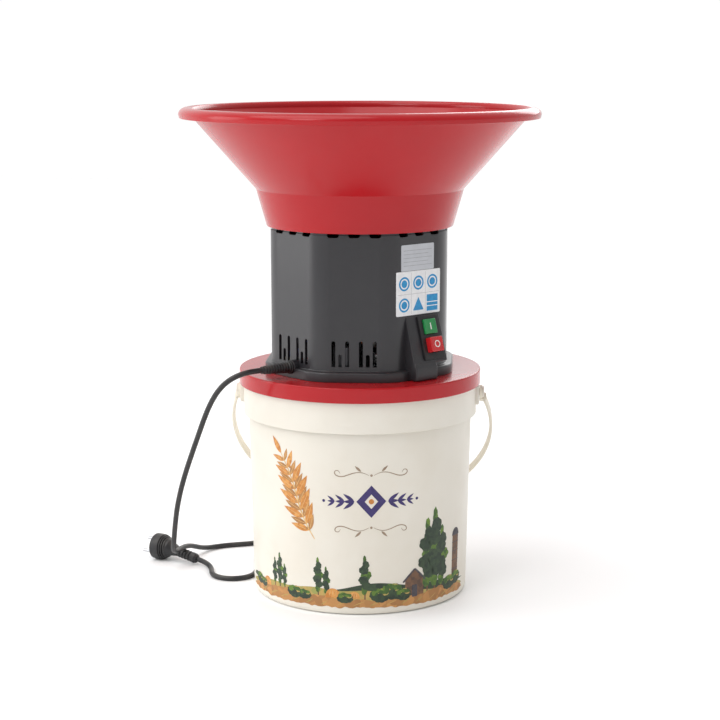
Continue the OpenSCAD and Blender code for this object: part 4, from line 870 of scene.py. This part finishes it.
def makeConsole():
    c, back = console, -housing["wall"] + 0.0005
    left, place = c["shift"] - c["width"] / 2, onFace(housing["consoleFace"])
    wedge = [(back, c["low"]), (c["out"], c["low"]), (c["topOut"], c["high"]), (back, c["high"])]
    chin = [(back, 0.0001), (c["chinOut"], 0.0001), (c["chinOut"], c["chinHeight"]),
            (c["out"] + 0.0002, c["low"] + 0.0006), (c["out"] - c["chinLap"], c["low"] + c["chinLap"]),
            (back, c["low"] + c["chinLap"])]
    for name, outline, width in (("switch_console", wedge, c["width"]),
                                 ("console_chin", chin, c["chinWidth"])):
        mesh = loftMesh("drawn", [[(x, y, z) for x, z in outline] for y in (left, left + width)])
        addPiece(name, moved(bevelled(mesh, c["edge"]), place), "black_plastic", "head", limit=30,
                 cutters=[switchWindow()] if name == "switch_console" else ())


makeHousing()
makeConsole()
print("housing made")

# switch
switch = {
    "bezelR": 0.0025, "windowR": 0.0019, "windowIn": 0.002, "windowOut": 0.006,
    "capEdge": 0.0014, "capSteps": 5, "capBelow": 0.0003, "capR": 0.0016, "capLeastR": 0.0006,
    "dish": ((0.0026, 0.00008), (0.0045, 0.00026), (0.0075, 0.00036)),      # in from the rim, down
    "markDeep": 0.0008, "barWidth": 0.0016, "barLong": 0.0086, "barDown": 0.00022,
    "ringIn": 0.0033, "ringOut": 0.0045, "ringDown": 0.00018,
}


def makeSwitch():
    c, s = console, switch
    thick, edge = c["frameThick"], s["capEdge"]
    slab = softSlab(lambda i: plateShape(c["frameWidth"] - 2 * i, c["frameLength"] - 2 * i, s["bezelR"] - i),
                    [(0.0004, 0.00005), (0, 0.0005), (0, thick - 0.0009), (0.00026, thick - 0.00026),
                     (0.0009, thick)])
    windows = []
    for mid, length in ((startMid, c["startLength"]), (stopMid, c["stopLength"])):
        outline = plateShape(c["buttonWidth"] + 2 * c["play"], length + 2 * c["play"], s["windowR"])
        windows.append(moved(prism(outline, -s["windowIn"], s["windowOut"]),
                             onSlope @ Matrix.Translation((0, 0, mid))))
    addPiece("switch_bezel", moved(slab, onSlope @ Matrix.Translation((0, 0, switchMid))), "switch_plastic",
             "head", replaced=("switch_frame",), cutters=windows, limit=30)
    for key, finish, mid, length in (("start", "green_key", startMid, c["startLength"]),
                                     ("stop", "red_key", stopMid, c["stopLength"])):
        top = thick + c[key + "Out"]
        rows = [(0, -s["capBelow"]), (0, top - edge)]
        rows += [(edge * (1 - math.cos(a)), top - edge * (1 - math.sin(a)))
                 for a in (math.pi / 2 * k / s["capSteps"] for k in range(1, s["capSteps"] + 1))]
        rows += [(inset, top - down) for inset, down in s["dish"]]
        cap = softSlab(lambda i: plateShape(c["buttonWidth"] - 2 * i, length - 2 * i,
                                            max(s["capR"] - i, s["capLeastR"])), rows)
        spot = onSlope @ Matrix.Translation((0, 0, mid))
        addPiece(key + "_cap", moved(cap, spot), finish, key + "_key", replaced=(key + "_button",), limit=40)
        deep = top - s["markDeep"]
        if key == "start":
            mark = prism(plateShape(s["barWidth"], s["barLong"], 0.0005), deep, top - s["barDown"])
        else:
            high = top - s["ringDown"]
            mark = aroundX([(s["ringIn"], deep), (s["ringOut"], deep), (s["ringOut"], high),
                            (s["ringIn"], high)], 48)
        addPiece(key + "_mark", moved(mark, spot), "ink_white", key + "_key")


makeSwitch()
print("switch made")


# film and print
def filmMesh(name, shapes, wrap, cell, thick):
    # shapes are (lift, loops) in the flat; they are filled, cut into narrow cells and wrapped on the wall
    built = bmesh.new()
    for lift, loops in shapes:
        edges = []
        for loop in loops:
            ring = [built.verts.new((x, y, lift)) for x, y in loop]
            edges += [built.edges.new((ring[i], ring[(i + 1) % len(ring)])) for i in range(len(ring))]
        bmesh.ops.triangle_fill(built, use_beauty=True, use_dissolve=False, edges=edges)
    low = min(v.co.x for v in built.verts)
    high = max(v.co.x for v in built.verts)
    for k in range(1, math.ceil((high - low) / cell)):
        everything = built.verts[:] + built.edges[:] + built.faces[:]
        bmesh.ops.bisect_plane(built, geom=everything, dist=1e-7, plane_co=(low + k * cell, 0, 0),
                               plane_no=(1, 0, 0))
    rim = [e for e in built.edges if len(e.link_faces) == 1]
    skirt = bmesh.ops.extrude_edge_only(built, edges=rim)["geom"]
    for v in skirt:
        if isinstance(v, bmesh.types.BMVert):
            v.co.z -= thick
    for v in built.verts:
        v.co = wrap(*v.co)
    mesh = bpy.data.meshes.new(name)
    built.to_mesh(mesh)
    built.free()
    return mesh


def onConsoleFace(y, z, lift):
    # the flat of the face, and on past it round the corner
    h = housing
    flat = (h["half"] - h["corner"]) * math.tan(math.pi / 8)
    beyond = max(0.0, abs(y) - flat)
    a = math.asin(min(1.0, beyond / (h["corner"] + lift)))
    x = -h["corner"] + (h["corner"] + lift) * math.cos(a)
    return onFace(h["consoleFace"]) @ Vector((x, y, z))


labels = {
    "lift": 0.00028, "inkLift": 0.00034, "inkThick": 0.00005, "cell": 0.003, "cornerR": 0.0015,
    "plate": (-0.031, 0.025, 0.1385, 0.1715), "sticker": (-0.0385, 0.0365, 0.082, 0.138),
    "discR": 0.0090, "ringShare": 0.74, "dotShare": 0.54, "half": 0.0095,
    "columns": (-0.0255, -0.0015, 0.0225), "rows": (0.0955, 0.1225),
    "bars": ((0.0015, 0.0105), (-0.0035, 0.0004), (-0.0105, -0.0046)),
    "ruled": 5, "ruledDrop": 0.0075, "ruledPitch": 0.0048, "ruledIn": 0.004, "ruledShort": 0.006,
    "ruledWide": 0.0005,
}


def makeLabels():
    s = labels
    for name, finish, node, span in (("silver_plate", "label_foil", "rating_plate", s["plate"]),
                                     ("white_sticker", "label_paper", "face_sticker", s["sticker"])):
        mesh = filmMesh(name, [(s["lift"], [box(*span, s["cornerR"])])], onConsoleFace, s["cell"], s["lift"])
        addPiece(name, mesh, finish, "head", replaced=(node,), limit=50)
    blue, grey = [], []
    for k, x in enumerate(s["columns"]):
        for j, z in enumerate(s["rows"]):
            if j == 0 and k == 2:       # a plain panel with pale bars
                blue += [[box(x - s["half"], x + s["half"], z + low, z + high, 0.0004)]
                         for low, high in s["bars"]]
            elif j == 0 and k == 1:     # a plain triangle
                blue.append([rounded([(x - 0.0092, z - 0.008, 0.0008), (x + 0.0092, z - 0.008, 0.0008),
                                      (x, z + 0.009, 0.0008)], 3)])
            else:                       # a ring round a plain dot
                blue += [[disc(s["discR"], 40, x, z), disc(s["discR"] * s["ringShare"], 40, x, z)],
                         [disc(s["discR"] * s["dotShare"], 32, x, z)]]
    for edge in (0.5 * (s["columns"][0] + s["columns"][1]), 0.5 * (s["columns"][1] + s["columns"][2])):
        grey.append([box(edge - 0.00012, edge + 0.00012, 0.084, 0.136, 0)])
    grey.append([box(-0.0365, 0.0345, 0.10885, 0.10915, 0)])
    left, right, high = s["plate"][0], s["plate"][1], s["plate"][3]
    for k in range(s["ruled"]):         # blank ruled lines on the plate
        z = high - s["ruledDrop"] - s["ruledPitch"] * k
        grey.append([box(left + s["ruledIn"], right - s["ruledIn"] - s["ruledShort"] * (k % 2),
                         z, z + s["ruledWide"], 0)])
    for name, ink, shapes in (("sticker_print", "ink_blue", blue), ("sticker_rules", "ink_grey", grey)):
        mesh = filmMesh(name, [(s["inkLift"], loops) for loops in shapes], onConsoleFace, s["cell"],
                        s["inkThick"])
        addPiece(name, mesh, ink, "head", limit=50)


makeLabels()
print("labels made")

# bucket
bucket = {
    "bottomR": 0.1415, "topR": 0.148, "wall": 0.0022, "corner": 0.008, "rise": 0.003, "footWidth": 0.006,
    "collarR": 0.15347, "collarWall": 0.002, "collarLow": 0.238, "collarTop": 0.284, "turns": 256,
    "earWidth": 0.034, "earLow": 0.250, "earHigh": 0.277, "earX": 0.15747, "earEdge": 0.0012, "earR": 0.004,
    "studR": 0.005, "studHeadR": 0.0075, "pivot": 0.265, "eyeGap": 0.0046, "studHead": 0.002,
}


def wallR(z):
    return bucket["bottomR"] + (bucket["topR"] - bucket["bottomR"]) * z / bucketTop


def makeBucket():
    b, top = bucket, bucketTop
    footIn = b["bottomR"] - b["corner"] - b["footWidth"]
    floorTop = b["rise"] + b["wall"]
    shell = [
        (0, b["rise"]), (footIn - b["rise"], b["rise"], 0.0015), (footIn, 0, 0.0008),
        (b["bottomR"], 0, b["corner"]), (b["topR"], top, 0.0010), (b["topR"] - b["wall"], top, 0.0010),
        (b["bottomR"] - b["wall"], floorTop, 0.006), (0, floorTop)]
    web = wallR(b["collarTop"]) - b["wall"] / 2
    collarIn, underWeb = b["collarR"] - b["collarWall"], b["collarTop"] - b["collarWall"]
    collar = [
        (collarIn, b["collarLow"], 0.0007), (b["collarR"], b["collarLow"], 0.0009),
        (b["collarR"], b["collarTop"], 0.0016), (web, b["collarTop"]), (web, underWeb),
        (collarIn, underWeb, 0.001)]
    meshes = [latheMesh("wall", shell, b["turns"], 7), latheMesh("collar", collar, b["turns"], 4)]
    tall, mid = b["earHigh"] - b["earLow"], (b["earHigh"] + b["earLow"]) / 2
    edge, earX = b["earEdge"], b["earX"]
    head = earX + b["eyeGap"]
    for turn in (0, math.pi):
        ear = softSlab(lambda i: plateShape(b["earWidth"] - 2 * i, tall - 2 * i, b["earR"] - i),
                       [(0, collarIn + 0.0002), (0, earX - edge), (0.3 * edge, earX - 0.3 * edge),
                        (edge, earX)])
        stud = aroundX([
            (0, earX - 0.001), (b["studR"], earX - 0.001), (b["studR"], head), (b["studHeadR"], head, 0.0003),
            (b["studHeadR"], head + b["studHead"], 0.0008), (0, head + b["studHead"])], 40, 4)
        spin = Matrix.Rotation(turn, 4, "Z")
        meshes += [moved(ear, spin @ Matrix.Translation((0, 0, mid))),
                   moved(stud, spin @ Matrix.Translation((0, 0, b["pivot"])))]
    addPiece("bucket_shell", joinMeshes("bucket_shell", meshes), "bucket_plastic", "bucket",
             replaced=("bucket",))


makeBucket()

bail = {
    "reach": 0.068, "pivotX": 0.15977, "thick": 0.004, "width": 0.011, "lean": 38.06, "eyeR": 0.009,
    "eyeHole": 0.00505, "linkLow": 0.0082, "linkHigh": 0.0130, "linkOut": 0.0072, "strapLow": 0.0090,
    "steps": 150,
}


def makeBail():
    b = bail
    radius = math.hypot(b["pivotX"], b["reach"])
    first = math.asin((b["strapLow"] - b["reach"]) / radius)
    path = []
    for k in range(b["steps"] + 1):
        a = first + (math.pi - 2 * first) * k / b["steps"]
        path.append(Vector((radius * math.cos(a), b["reach"] + radius * math.sin(a), 0)))
    section = plateShape(b["width"], b["thick"], 0.0014, 4)
    meshes = [sweepMesh("strap", path, section, Vector((0, 0, 1)))]
    low, high = b["pivotX"] - b["thick"] / 2, b["pivotX"] + b["thick"] / 2
    for turn in (math.pi, 0):
        eye = aroundX([(b["eyeHole"], low, 0.0003), (b["eyeR"], low, 0.0007), (b["eyeR"], high, 0.0007),
                       (b["eyeHole"], high, 0.0003)], 48, 3)
        outline = box(low, b["pivotX"] + b["linkOut"], -b["width"] / 2, b["width"] / 2, 0.001, 3)
        link = loftMesh("link", [[(x, y, z) for x, z in outline] for y in (b["linkLow"], b["linkHigh"])])
        meshes += [moved(mesh, Matrix.Rotation(turn, 4, "Y")) for mesh in (eye, link)]
    place = (Matrix.Translation((0, 0, bucket["pivot"]))
             @ Matrix.Rotation(math.radians(b["lean"] - 90), 4, "X"))
    addPiece("bail_strap", moved(joinMeshes("bail_strap", meshes), place), "bail_plastic", "bail",
             replaced=("bail_handle",))


makeBail()
print("bucket and bail made")

# picture on the bucket
picture = {
    "front": -90, "radius": 0.145, "lift": 0.00010, "layer": 0.00002, "thick": 0.00006, "cell": 0.0035,
    "reach": 0.186, "groundLow": 0.0100, "fadeWidth": 0.03, "seed": 11,
}
painted = {}
draw = random.Random(picture["seed"])


def onBucket(s, z, lift):
    a = math.radians(picture["front"]) + s / picture["radius"]
    r = wallR(z) + lift
    return Vector((r * math.cos(a), r * math.sin(a), z))


def paint(ink, layer, *loops):
    painted.setdefault(ink, []).append((picture["lift"] + picture["layer"] * layer, list(loops)))


def leaf(x, z, length, width, turn, steps=7):
    # a pointed leaf from its stalk at (x, z)
    c, s = math.cos(turn), math.sin(turn)
    side = [(length * k / steps, 0.5 * width * math.sin(math.pi * (k / steps) ** 0.8))
            for k in range(1, steps)]
    flat = [(0, 0)] + side + [(length, 0)] + [(u, -v) for u, v in reversed(side)]
    return [(x + u * c - v * s, z + u * s + v * c) for u, v in flat]


def clump(x, z, wide, tall, bumps, steps=46, rough=0.10):
    # a bush's bumpy outline
    start = draw.uniform(0, 6.28)
    loop = []
    for k in range(steps):
        a = 2 * math.pi * k / steps
        swell = 1 + rough * abs(math.sin(bumps * a / 2 + start)) + 0.05 * math.sin(3 * a + start)
        loop.append((x + wide * swell * math.cos(a), z + tall * swell * math.sin(a)))
    return loop


def dome(x, foot, half, wide, tall, steps, power=1.0):
    # a round top over a flat foot
    turns = [math.pi - math.pi * k / steps for k in range(1, steps)]
    over = [(x + wide * math.cos(a), foot + tall * math.sin(a) ** power) for a in turns]
    return [(x - half, foot)] + over + [(x + half, foot)]


def ribbon(points, width, taper=1.0):
    # a brush line along a smooth route; taper 1 thins it to both its ends
    route = smoothRoute([Vector((x, z, 0)) for x, z in points], 5)
    left, right = [], []
    for i, here in enumerate(route):
        way = (route[min(i + 1, len(route) - 1)] - route[max(i - 1, 0)]).normalized()
        t = i / (len(route) - 1)
        half = 0.5 * width * (1 - taper * (1 - math.sin(math.pi * (0.06 + 0.88 * t))))
        left.append((here.x - way.y * half, here.y + way.x * half))
        right.append((here.x + way.y * half, here.y - way.x * half))
    return left + right[::-1]


def hill(level, swell, ripple, low, steps=90, ragged=0.0):
    # a wavy strip from side to side that thins out at both ends; swell is (height, pace, start)
    reach = picture["reach"]
    under, over = [], []
    for k in range(steps + 1):
        x = -reach + 2 * reach * k / steps
        top = level + swell[0] * math.sin(swell[1] * x + swell[2]) + ripple[0] * math.sin(ripple[1] * x)
        fade = min(1.0, (reach - abs(x)) / picture["fadeWidth"]) ** 0.6 if abs(x) < reach else 0.0
        z = low + ragged * noise.noise((x * 160, 3.1, 0.5)) + 0.001 * (1 - fade)
        under.append((x, z))
        over.append((x, z + 0.0004 + max(0.0, top - low) * fade))
    return under + over[::-1]


def paintFields():
    low = picture["groundLow"]
    paint("ink_pine", 0, hill(0.034, (0.006, 21, 0.7), (0.0024, 57), low + 0.014))
    paint("ink_meadow", 2, hill(0.029, (0.004, 17, 2.2), (0.0012, 90), low + 0.006))
    paint("ink_ochre", 4, hill(0.0225, (0.0035, 26, 4.0), (0.001, 120), low, 150, 0.0022))
    # furrows that run down the near field
    for k in range(15):
        x = -0.150 + 0.0215 * k
        bend = 0.004 * math.sin(k)
        furrow = [(x, 0.0125), (x + 0.006, 0.0155), (x + 0.013 + bend, 0.0190)]
        paint("ink_meadow", 6, ribbon(furrow, 0.0011))


poplars = (     # place, foot, height
    (-0.118, 0.028, 0.034), (-0.108, 0.028, 0.042), (-0.099, 0.027, 0.030), (-0.046, 0.027, 0.046),
    (-0.035, 0.026, 0.036), (0.016, 0.026, 0.052), (0.104, 0.027, 0.092), (0.117, 0.026, 0.104),
    (0.130, 0.026, 0.080))
bushes = (      # place, height of the middle, half width
    (-0.160, 0.026, 0.010), (-0.146, 0.024, 0.008), (-0.082, 0.025, 0.011), (-0.066, 0.024, 0.009),
    (-0.010, 0.024, 0.010), (0.036, 0.027, 0.013), (0.052, 0.031, 0.015), (0.067, 0.026, 0.011),
    (0.147, 0.028, 0.013), (0.164, 0.031, 0.012))


def paintTrees():
    for x, foot, tall in poplars:
        trunk = [(x, foot - 0.006), (x + 0.0003, foot + tall * 0.3), (x, foot + tall * 0.6)]
        paint("ink_brick", 3, ribbon(trunk, 0.0016 + tall * 0.012, 0.3))
        for k in range(7):
            t = k / 6
            wide = tall * (0.115 * math.sin(math.pi * (0.16 + 0.76 * t)) + 0.008)
            side = 0.25 * wide * (1 if k % 2 else -1)
            spot = clump(x + side, foot + tall * (0.14 + 0.78 * t), wide, tall * 0.10, 7, 30, 0.16)
            paint("ink_pine" if k % 3 else "ink_leaf", 5 + k % 3, spot)
    for x, z, wide in bushes:
        paint("ink_pine", 8, clump(x, z - 0.001, wide, wide * 0.66, 11))
        for k in range(9):
            a = 0.35 + 2.45 * k / 8
            reach = 0.58 + 0.16 * (k % 2)
            tuft = clump(x + wide * reach * math.cos(a), z + wide * 0.62 * reach * math.sin(a), wide * 0.27,
                         wide * 0.20, 6, 22, 0.2)
            paint("ink_leaf" if k % 3 else "ink_meadow", 9 + k % 3, tuft)


def paintFarm():
    # a barn with a pitched roof, a round silo and three haystacks
    paint("ink_brick", 3, [(0.070, 0.020), (0.098, 0.020), (0.098, 0.043), (0.084, 0.056), (0.070, 0.043)])
    for roof in ([(0.067, 0.0405), (0.0755, 0.0490), (0.084, 0.0570)],
                 [(0.084, 0.0570), (0.0925, 0.0490), (0.101, 0.0405)]):
        paint("ink_slate", 5, ribbon(roof, 0.0026, 0.1))
    paint("ink_slate", 5, box(0.0800, 0.0880, 0.020, 0.036, 0.0006))
    paint("ink_brick", 3, box(0.1535, 0.1690, 0.020, 0.088, 0.0006))
    paint("ink_slate", 5, dome(0.16125, 0.0875, 0.00875, 0.0088, 0.0100, 16))
    for k in range(5):
        paint("ink_slate", 6, box(0.1530, 0.1695, 0.030 + 0.012 * k, 0.0309 + 0.012 * k, 0))
    for x, wide in ((-0.136, 0.0085), (-0.026, 0.0100), (0.002, 0.0075)):
        paint("ink_gold", 7, dome(x, 0.0225, wide, wide, 1.25 * wide, 18, 0.8))
        for k in (-1, 0, 1):
            straw = [(x + 0.5 * k * wide, 0.0235), (x + 0.42 * k * wide, 0.0235 + 0.5 * wide),
                     (x + 0.25 * k * wide, 0.0235 + 0.95 * wide)]
            paint("ink_straw", 8, ribbon(straw, 0.0008))


def paintBranch():
    # a golden branch with paired leaves, bent to the left, and berries between them
    stem = [(-0.050, 0.098), (-0.062, 0.116), (-0.072, 0.138), (-0.078, 0.160), (-0.086, 0.182),
            (-0.100, 0.204)]
    paint("ink_straw", 2, ribbon(stem, 0.0022, 0.6))
    route = smoothRoute([Vector((x, z, 0)) for x, z in stem], 5)
    for k in range(3, len(route) - 1, 2):
        here, way = route[k], (route[k + 1] - route[k - 1]).normalized()
        grown = 0.034 * math.sin(math.pi * (0.25 + 0.6 * k / len(route)))
        lean = math.atan2(way.y, way.x)
        side = 1 if (k // 2) % 2 else -1
        for swing, scale, ink, layer in ((side, 1.0, "ink_gold", 4), (-side, 0.8, "ink_ochre", 3)):
            turn, long = lean + swing * 0.80, grown * scale
            paint(ink, layer, leaf(here.x, here.y, long, grown * 0.30 * scale, turn))
            tip = (here.x + 0.9 * long * math.cos(turn), here.y + 0.9 * long * math.sin(turn))
            vein = [(here.x, here.y), ((here.x + tip[0]) / 2, (here.y + tip[1]) / 2), tip]
            paint("ink_straw", 6, ribbon(vein, 0.0007))
        paint("ink_ochre", 7, clump(here.x - side * 0.004, here.y + 0.002, 0.0019, 0.0019, 4, 16, 0.02))
    last = route[-1]
    paint("ink_gold", 4, leaf(last.x, last.y, 0.026, 0.008, 2.2))


flourish = (    # out from the middle, up from the line
    (0.003, 0.0), (0.013, 0.0052), (0.025, 0.0030), (0.036, -0.0026), (0.046, -0.0008), (0.0475, 0.0054),
    (0.0415, 0.0068), (0.0395, 0.0024))


def paintOrnament():
    # a navy lozenge with three fans of leaves and a dot at each side, and a thin brown flourish over
    # and under it
    midX, midZ, away = 0.024, 0.150, 0.034
    quarters = [math.pi * k / 2 for k in range(4)]
    paint("ink_navy", 3, *([(midX + wide * math.cos(a), midZ + tall * math.sin(a)) for a in quarters]
                           for wide, tall in ((0.019, 0.021), (0.0085, 0.0095))))
    paint("ink_gold", 4, disc(0.0034, 20, midX, midZ))
    for side in (-1, 1):
        turn = 0 if side > 0 else math.pi
        for k in range(3):
            x, size = midX + side * (0.0215 + 0.0125 * k), 0.0175 - 0.0028 * k
            for swing in (-0.62, 0, 0.62):
                long = size * (1.0 if swing else 0.82)
                paint("ink_navy", 3 + (swing == 0), leaf(x, midZ, long, size * 0.26, turn + swing))
        paint("ink_navy", 3, disc(0.0019, 16, midX + side * 0.0610, midZ))
        for up in (-1, 1):
            base = midZ + up * away
            lean = up * 0.75 if side > 0 else math.pi - up * 0.75
            curl = [(midX + side * x, base + up * z) for x, z in flourish]
            paint("ink_brown", 3, ribbon(curl, 0.0013, 0.8))
            paint("ink_brown", 4, leaf(midX + side * 0.013, base + up * 0.005, 0.011, 0.0030, lean))
    for up in (-1, 1):
        paint("ink_brown", 5, disc(0.0016, 16, midX, midZ + up * away))


def makePicture():
    paintFields()
    paintTrees()
    paintFarm()
    paintBranch()
    paintOrnament()
    for ink, shapes in painted.items():
        name = "print_" + ink[4:]
        mesh = filmMesh(name, shapes, onBucket, picture["cell"], picture["thick"])
        addPiece(name, mesh, ink, "bucket", limit=60)


makePicture()
print("picture made:", sum(len(shapes) for shapes in painted.values()), "shapes")

# gland and plug
sleeve = {
    "r": 0.0075, "baseR": 0.0085, "base": 0.003, "ribs": 9, "tipR": 0.0051, "groove": 0.0009,
    "shankR": 0.005, "shankLong": 0.0252, "steps": 56,
}
plug = {
    "r": 0.018, "headLength": 0.022, "face": (-0.295, 0.101, 0.018), "turn": 153, "roll": 37,
    "neckEnd": (-0.2315, 0.069, 0.0085), "neckR": 0.007, "ribs": 5, "ribStart": 0.0172, "ribPitch": 0.005,
    "ribDeep": 0.0014, "pinSeatR": 0.0024, "pinSeatDeep": 0.006, "pinPitch": 0.019,
    "stripWidth": 0.006, "stripLength": 0.012, "stripThick": 0.0034, "past": 0.002,
    "grips": 3, "gripPitch": 0.0026, "gripRise": 0.0013, "gripDeep": 0.0011,
}


def makeSleeve():
    s, end = sleeve, lead["sleeveLength"]
    corners = [(0, 0), (s["r"], 0), (s["r"], s["base"] + 0.001, 0.0003)]
    pitch = (end - s["base"] - 0.006) / s["ribs"]
    for k in range(s["ribs"]):
        z = s["base"] + 0.002 + k * pitch
        r = s["r"] + (s["tipR"] - s["r"]) * z / end
        corners += [(r - s["groove"], z, 0.0004), (r - s["groove"], z + 0.4 * pitch, 0.0004),
                    (r, z + 0.5 * pitch, 0.0005), (r, z + 0.92 * pitch, 0.0005)]
    corners += [(s["tipR"] - 0.0002, end - 0.0035, 0.0004), (s["tipR"] - 0.0004, end + 0.0002, 0.0006),
                (0, end + 0.0002)]
    along = (Matrix.Translation(Vector(lead["sleeveStart"]))
             @ Matrix.Rotation(math.radians(lead["sleeveTurn"]), 4, "Z"))
    spot = onFace(housing["cordFace"]) @ Matrix.Translation(
        (housing["footOut"], housing["bossShift"], housing["bossHeight"]))
    meshes = [
        moved(aroundX(corners, s["steps"], 3), along),
        moved(aroundX([(0, 0), (s["baseR"], 0), (s["baseR"], s["base"], 0.0009), (0, s["base"])],
                      s["steps"], 4), spot),
        moved(aroundX([(0, -s["shankLong"]), (s["shankR"], -s["shankLong"]), (s["shankR"], 0.001),
                       (0, 0.001)]), spot)]
    return addPiece("cord_boot", joinMeshes("cord_boot", meshes), "cord_rubber", "head",
                    replaced=("cord_sleeve",))


def plugSeats(place):
    # the slots of the side contacts and the holes of the pins
    p, tools = plug, []
    strip = plateShape(p["stripWidth"] + 0.0004, p["stripThick"], 0.0004)
    seat = [(0, -p["pinSeatDeep"]), (p["pinSeatR"], -p["pinSeatDeep"]), (p["pinSeatR"], p["past"]),
            (0, p["past"])]
    for side in (-1, 1):
        slot = prism([(z, y) for y, z in strip], -p["stripLength"], p["past"])
        tools.append(moved(slot, place @ Matrix.Translation((0, side * (p["r"] - 0.0004), 0))))
        tools.append(moved(aroundX(seat, 24), place @ Matrix.Translation((0, 0, side * p["pinPitch"] / 2))))
    return tools


def makePlug():
    p = plug
    back = -p["headLength"]
    turn = math.radians(p["turn"])
    place = (Matrix.Translation(p["face"]) @ Matrix.Rotation(turn, 4, "Z")
             @ Matrix.Rotation(math.radians(p["roll"]), 4, "X"))
    corners = [(0, back - 0.002), (p["r"] - 0.006, back - 0.002, 0.001)]
    for k in range(p["grips"]):          # finger ridges on the shoulder
        x = back + 0.0004 + p["gripPitch"] * k
        r = p["r"] - 0.0038 + p["gripRise"] * k
        corners += [(r, x, 0.0005), (r, x + 0.0016, 0.0004), (r - p["gripDeep"], x + 0.0017, 0.0003),
                    (r - p["gripDeep"], x + 0.0024, 0.0003)]
    corners += [(p["r"] - 0.0002, back + 0.0082, 0.0008), (p["r"], -0.008, 0.002),
                (p["r"] - 0.0001, -0.0002, 0.0012), (p["r"] - 0.0028, 0, 0.0003),
                (p["r"] - 0.0034, -0.0006, 0.0003), (0, -0.0006)]
    head = addPiece("plug_head", moved(aroundX(corners, 96, 3), place), "cord_rubber", "head",
                    replaced=("plug_body",), cutters=plugSeats(place))
    root = Vector(p["face"]) - p["headLength"] * Vector((math.cos(turn), math.sin(turn), 0))
    way = Vector(p["neckEnd"]) - root
    long, r = way.length, p["neckR"]
    neck = [(0, -0.002), (0.013, -0.002), (0.0125, 0.002, 0.002), (0.0095, 0.007, 0.003),
            (0.008, 0.012, 0.003), (r, 0.0155, 0.001)]
    for k in range(p["ribs"]):
        z = p["ribStart"] + p["ribPitch"] * k
        neck += [(r, z, 0.0005), (r - p["ribDeep"], z + 0.0006, 0.0004),
                 (r - p["ribDeep"], z + 0.0024, 0.0004), (r, z + 0.003, 0.0005)]
    neck += [(r, long - 0.004, 0.001), (0.0058, long - 0.0012, 0.001), (0.0045, long + 0.0003, 0.0006),
             (0, long + 0.0003)]
    lean = Matrix.Translation(root) @ way.to_track_quat("Z", "Y").to_matrix().to_4x4()
    tail = addPiece("plug_neck", moved(latheMesh("plug_neck", neck, 64, 3), lean), "cord_rubber", "head")
    return [head, tail]


makeLead()
print("mains lead laid")

# floor and light
stage = {
    "floor": (251, 251, 251), "floorRough": 0.7, "size": 14.0,
    "lamps": [
        # name, place, aimed at, width, height, watts
        ("key", (-1.5, -2.5, 2.1), (0, 0, 0.45), 1.0, 1.2, 15),
        ("side", (-2.3, -0.18, 0.9), (0, 0, 0.38), 1.1, 1.6, 12),
        ("rim", (0.9, 2.6, 1.5), (0, 0, 0.35), 1.9, 1.1, 17),
    ],
    "sunFrom": (-0.40, -0.28, 1.0), "sunAngle": 55, "sunStrength": 1.25,
    "skyFront": 0.36, "skyBack": 1.01, "skyWay": (-0.35, 0.93, 0.0),     # the wall behind is the brighter one
    "skyFrom": -1.0, "skyTo": 0.8,
    "wall": 1.01,                                                        # as the camera sees it, all round
}


def makeStage():
    half = stage["size"] / 2
    corners = [(-half, -half, 0), (half, -half, 0), (half, half, 0), (-half, half, 0)]
    floor = addObject("floor", meshOf("floor", corners, [(0, 1, 2, 3)]))
    material, tree, shader = newMaterial("floor_paper")
    shader.inputs["Base Color"].default_value = tint(*stage["floor"])
    shader.inputs["Roughness"].default_value = stage["floorRough"]
    floor.data.materials.append(material)
    for name, place, aim, width, height, watts in stage["lamps"]:
        data = bpy.data.lights.new(name, "AREA")
        data.shape = "RECTANGLE"
        data.size, data.size_y, data.energy = width, height, watts
        lamp = addObject(name, data)
        lamp.location = place
        lamp.rotation_euler = (Vector(aim) - Vector(place)).to_track_quat("-Z", "Y").to_euler()
    data = bpy.data.lights.new("overhead", "SUN")
    data.energy, data.angle = stage["sunStrength"], math.radians(stage["sunAngle"])
    addObject("overhead", data).rotation_euler = Vector(stage["sunFrom"]).to_track_quat("Z", "Y").to_euler()
    world = bpy.data.worlds.new("studio")
    world.use_nodes = True
    tree = world.node_tree
    way = addNode(tree, "TexCoord").outputs["Generated"]
    side = addNode(tree, "VectorMath", {0: way, 1: stage["skyWay"]}, operation="DOT_PRODUCT").outputs[1]
    glow = ranged(tree, side, stage["skyFrom"], stage["skyTo"], stage["skyFront"], stage["skyBack"])
    seen = addNode(tree, "LightPath").outputs["Is Camera Ray"]
    background = tree.nodes["Background"].inputs
    tree.links.new(mixValue(tree, seen, glow, stage["wall"]), background["Strength"])
    background["Color"].default_value = (1, 1, 1, 1)
    bpy.context.scene.world = world
    bpy.context.scene.view_settings.view_transform = "Standard"


makeStage()
print("stage and lamps set")
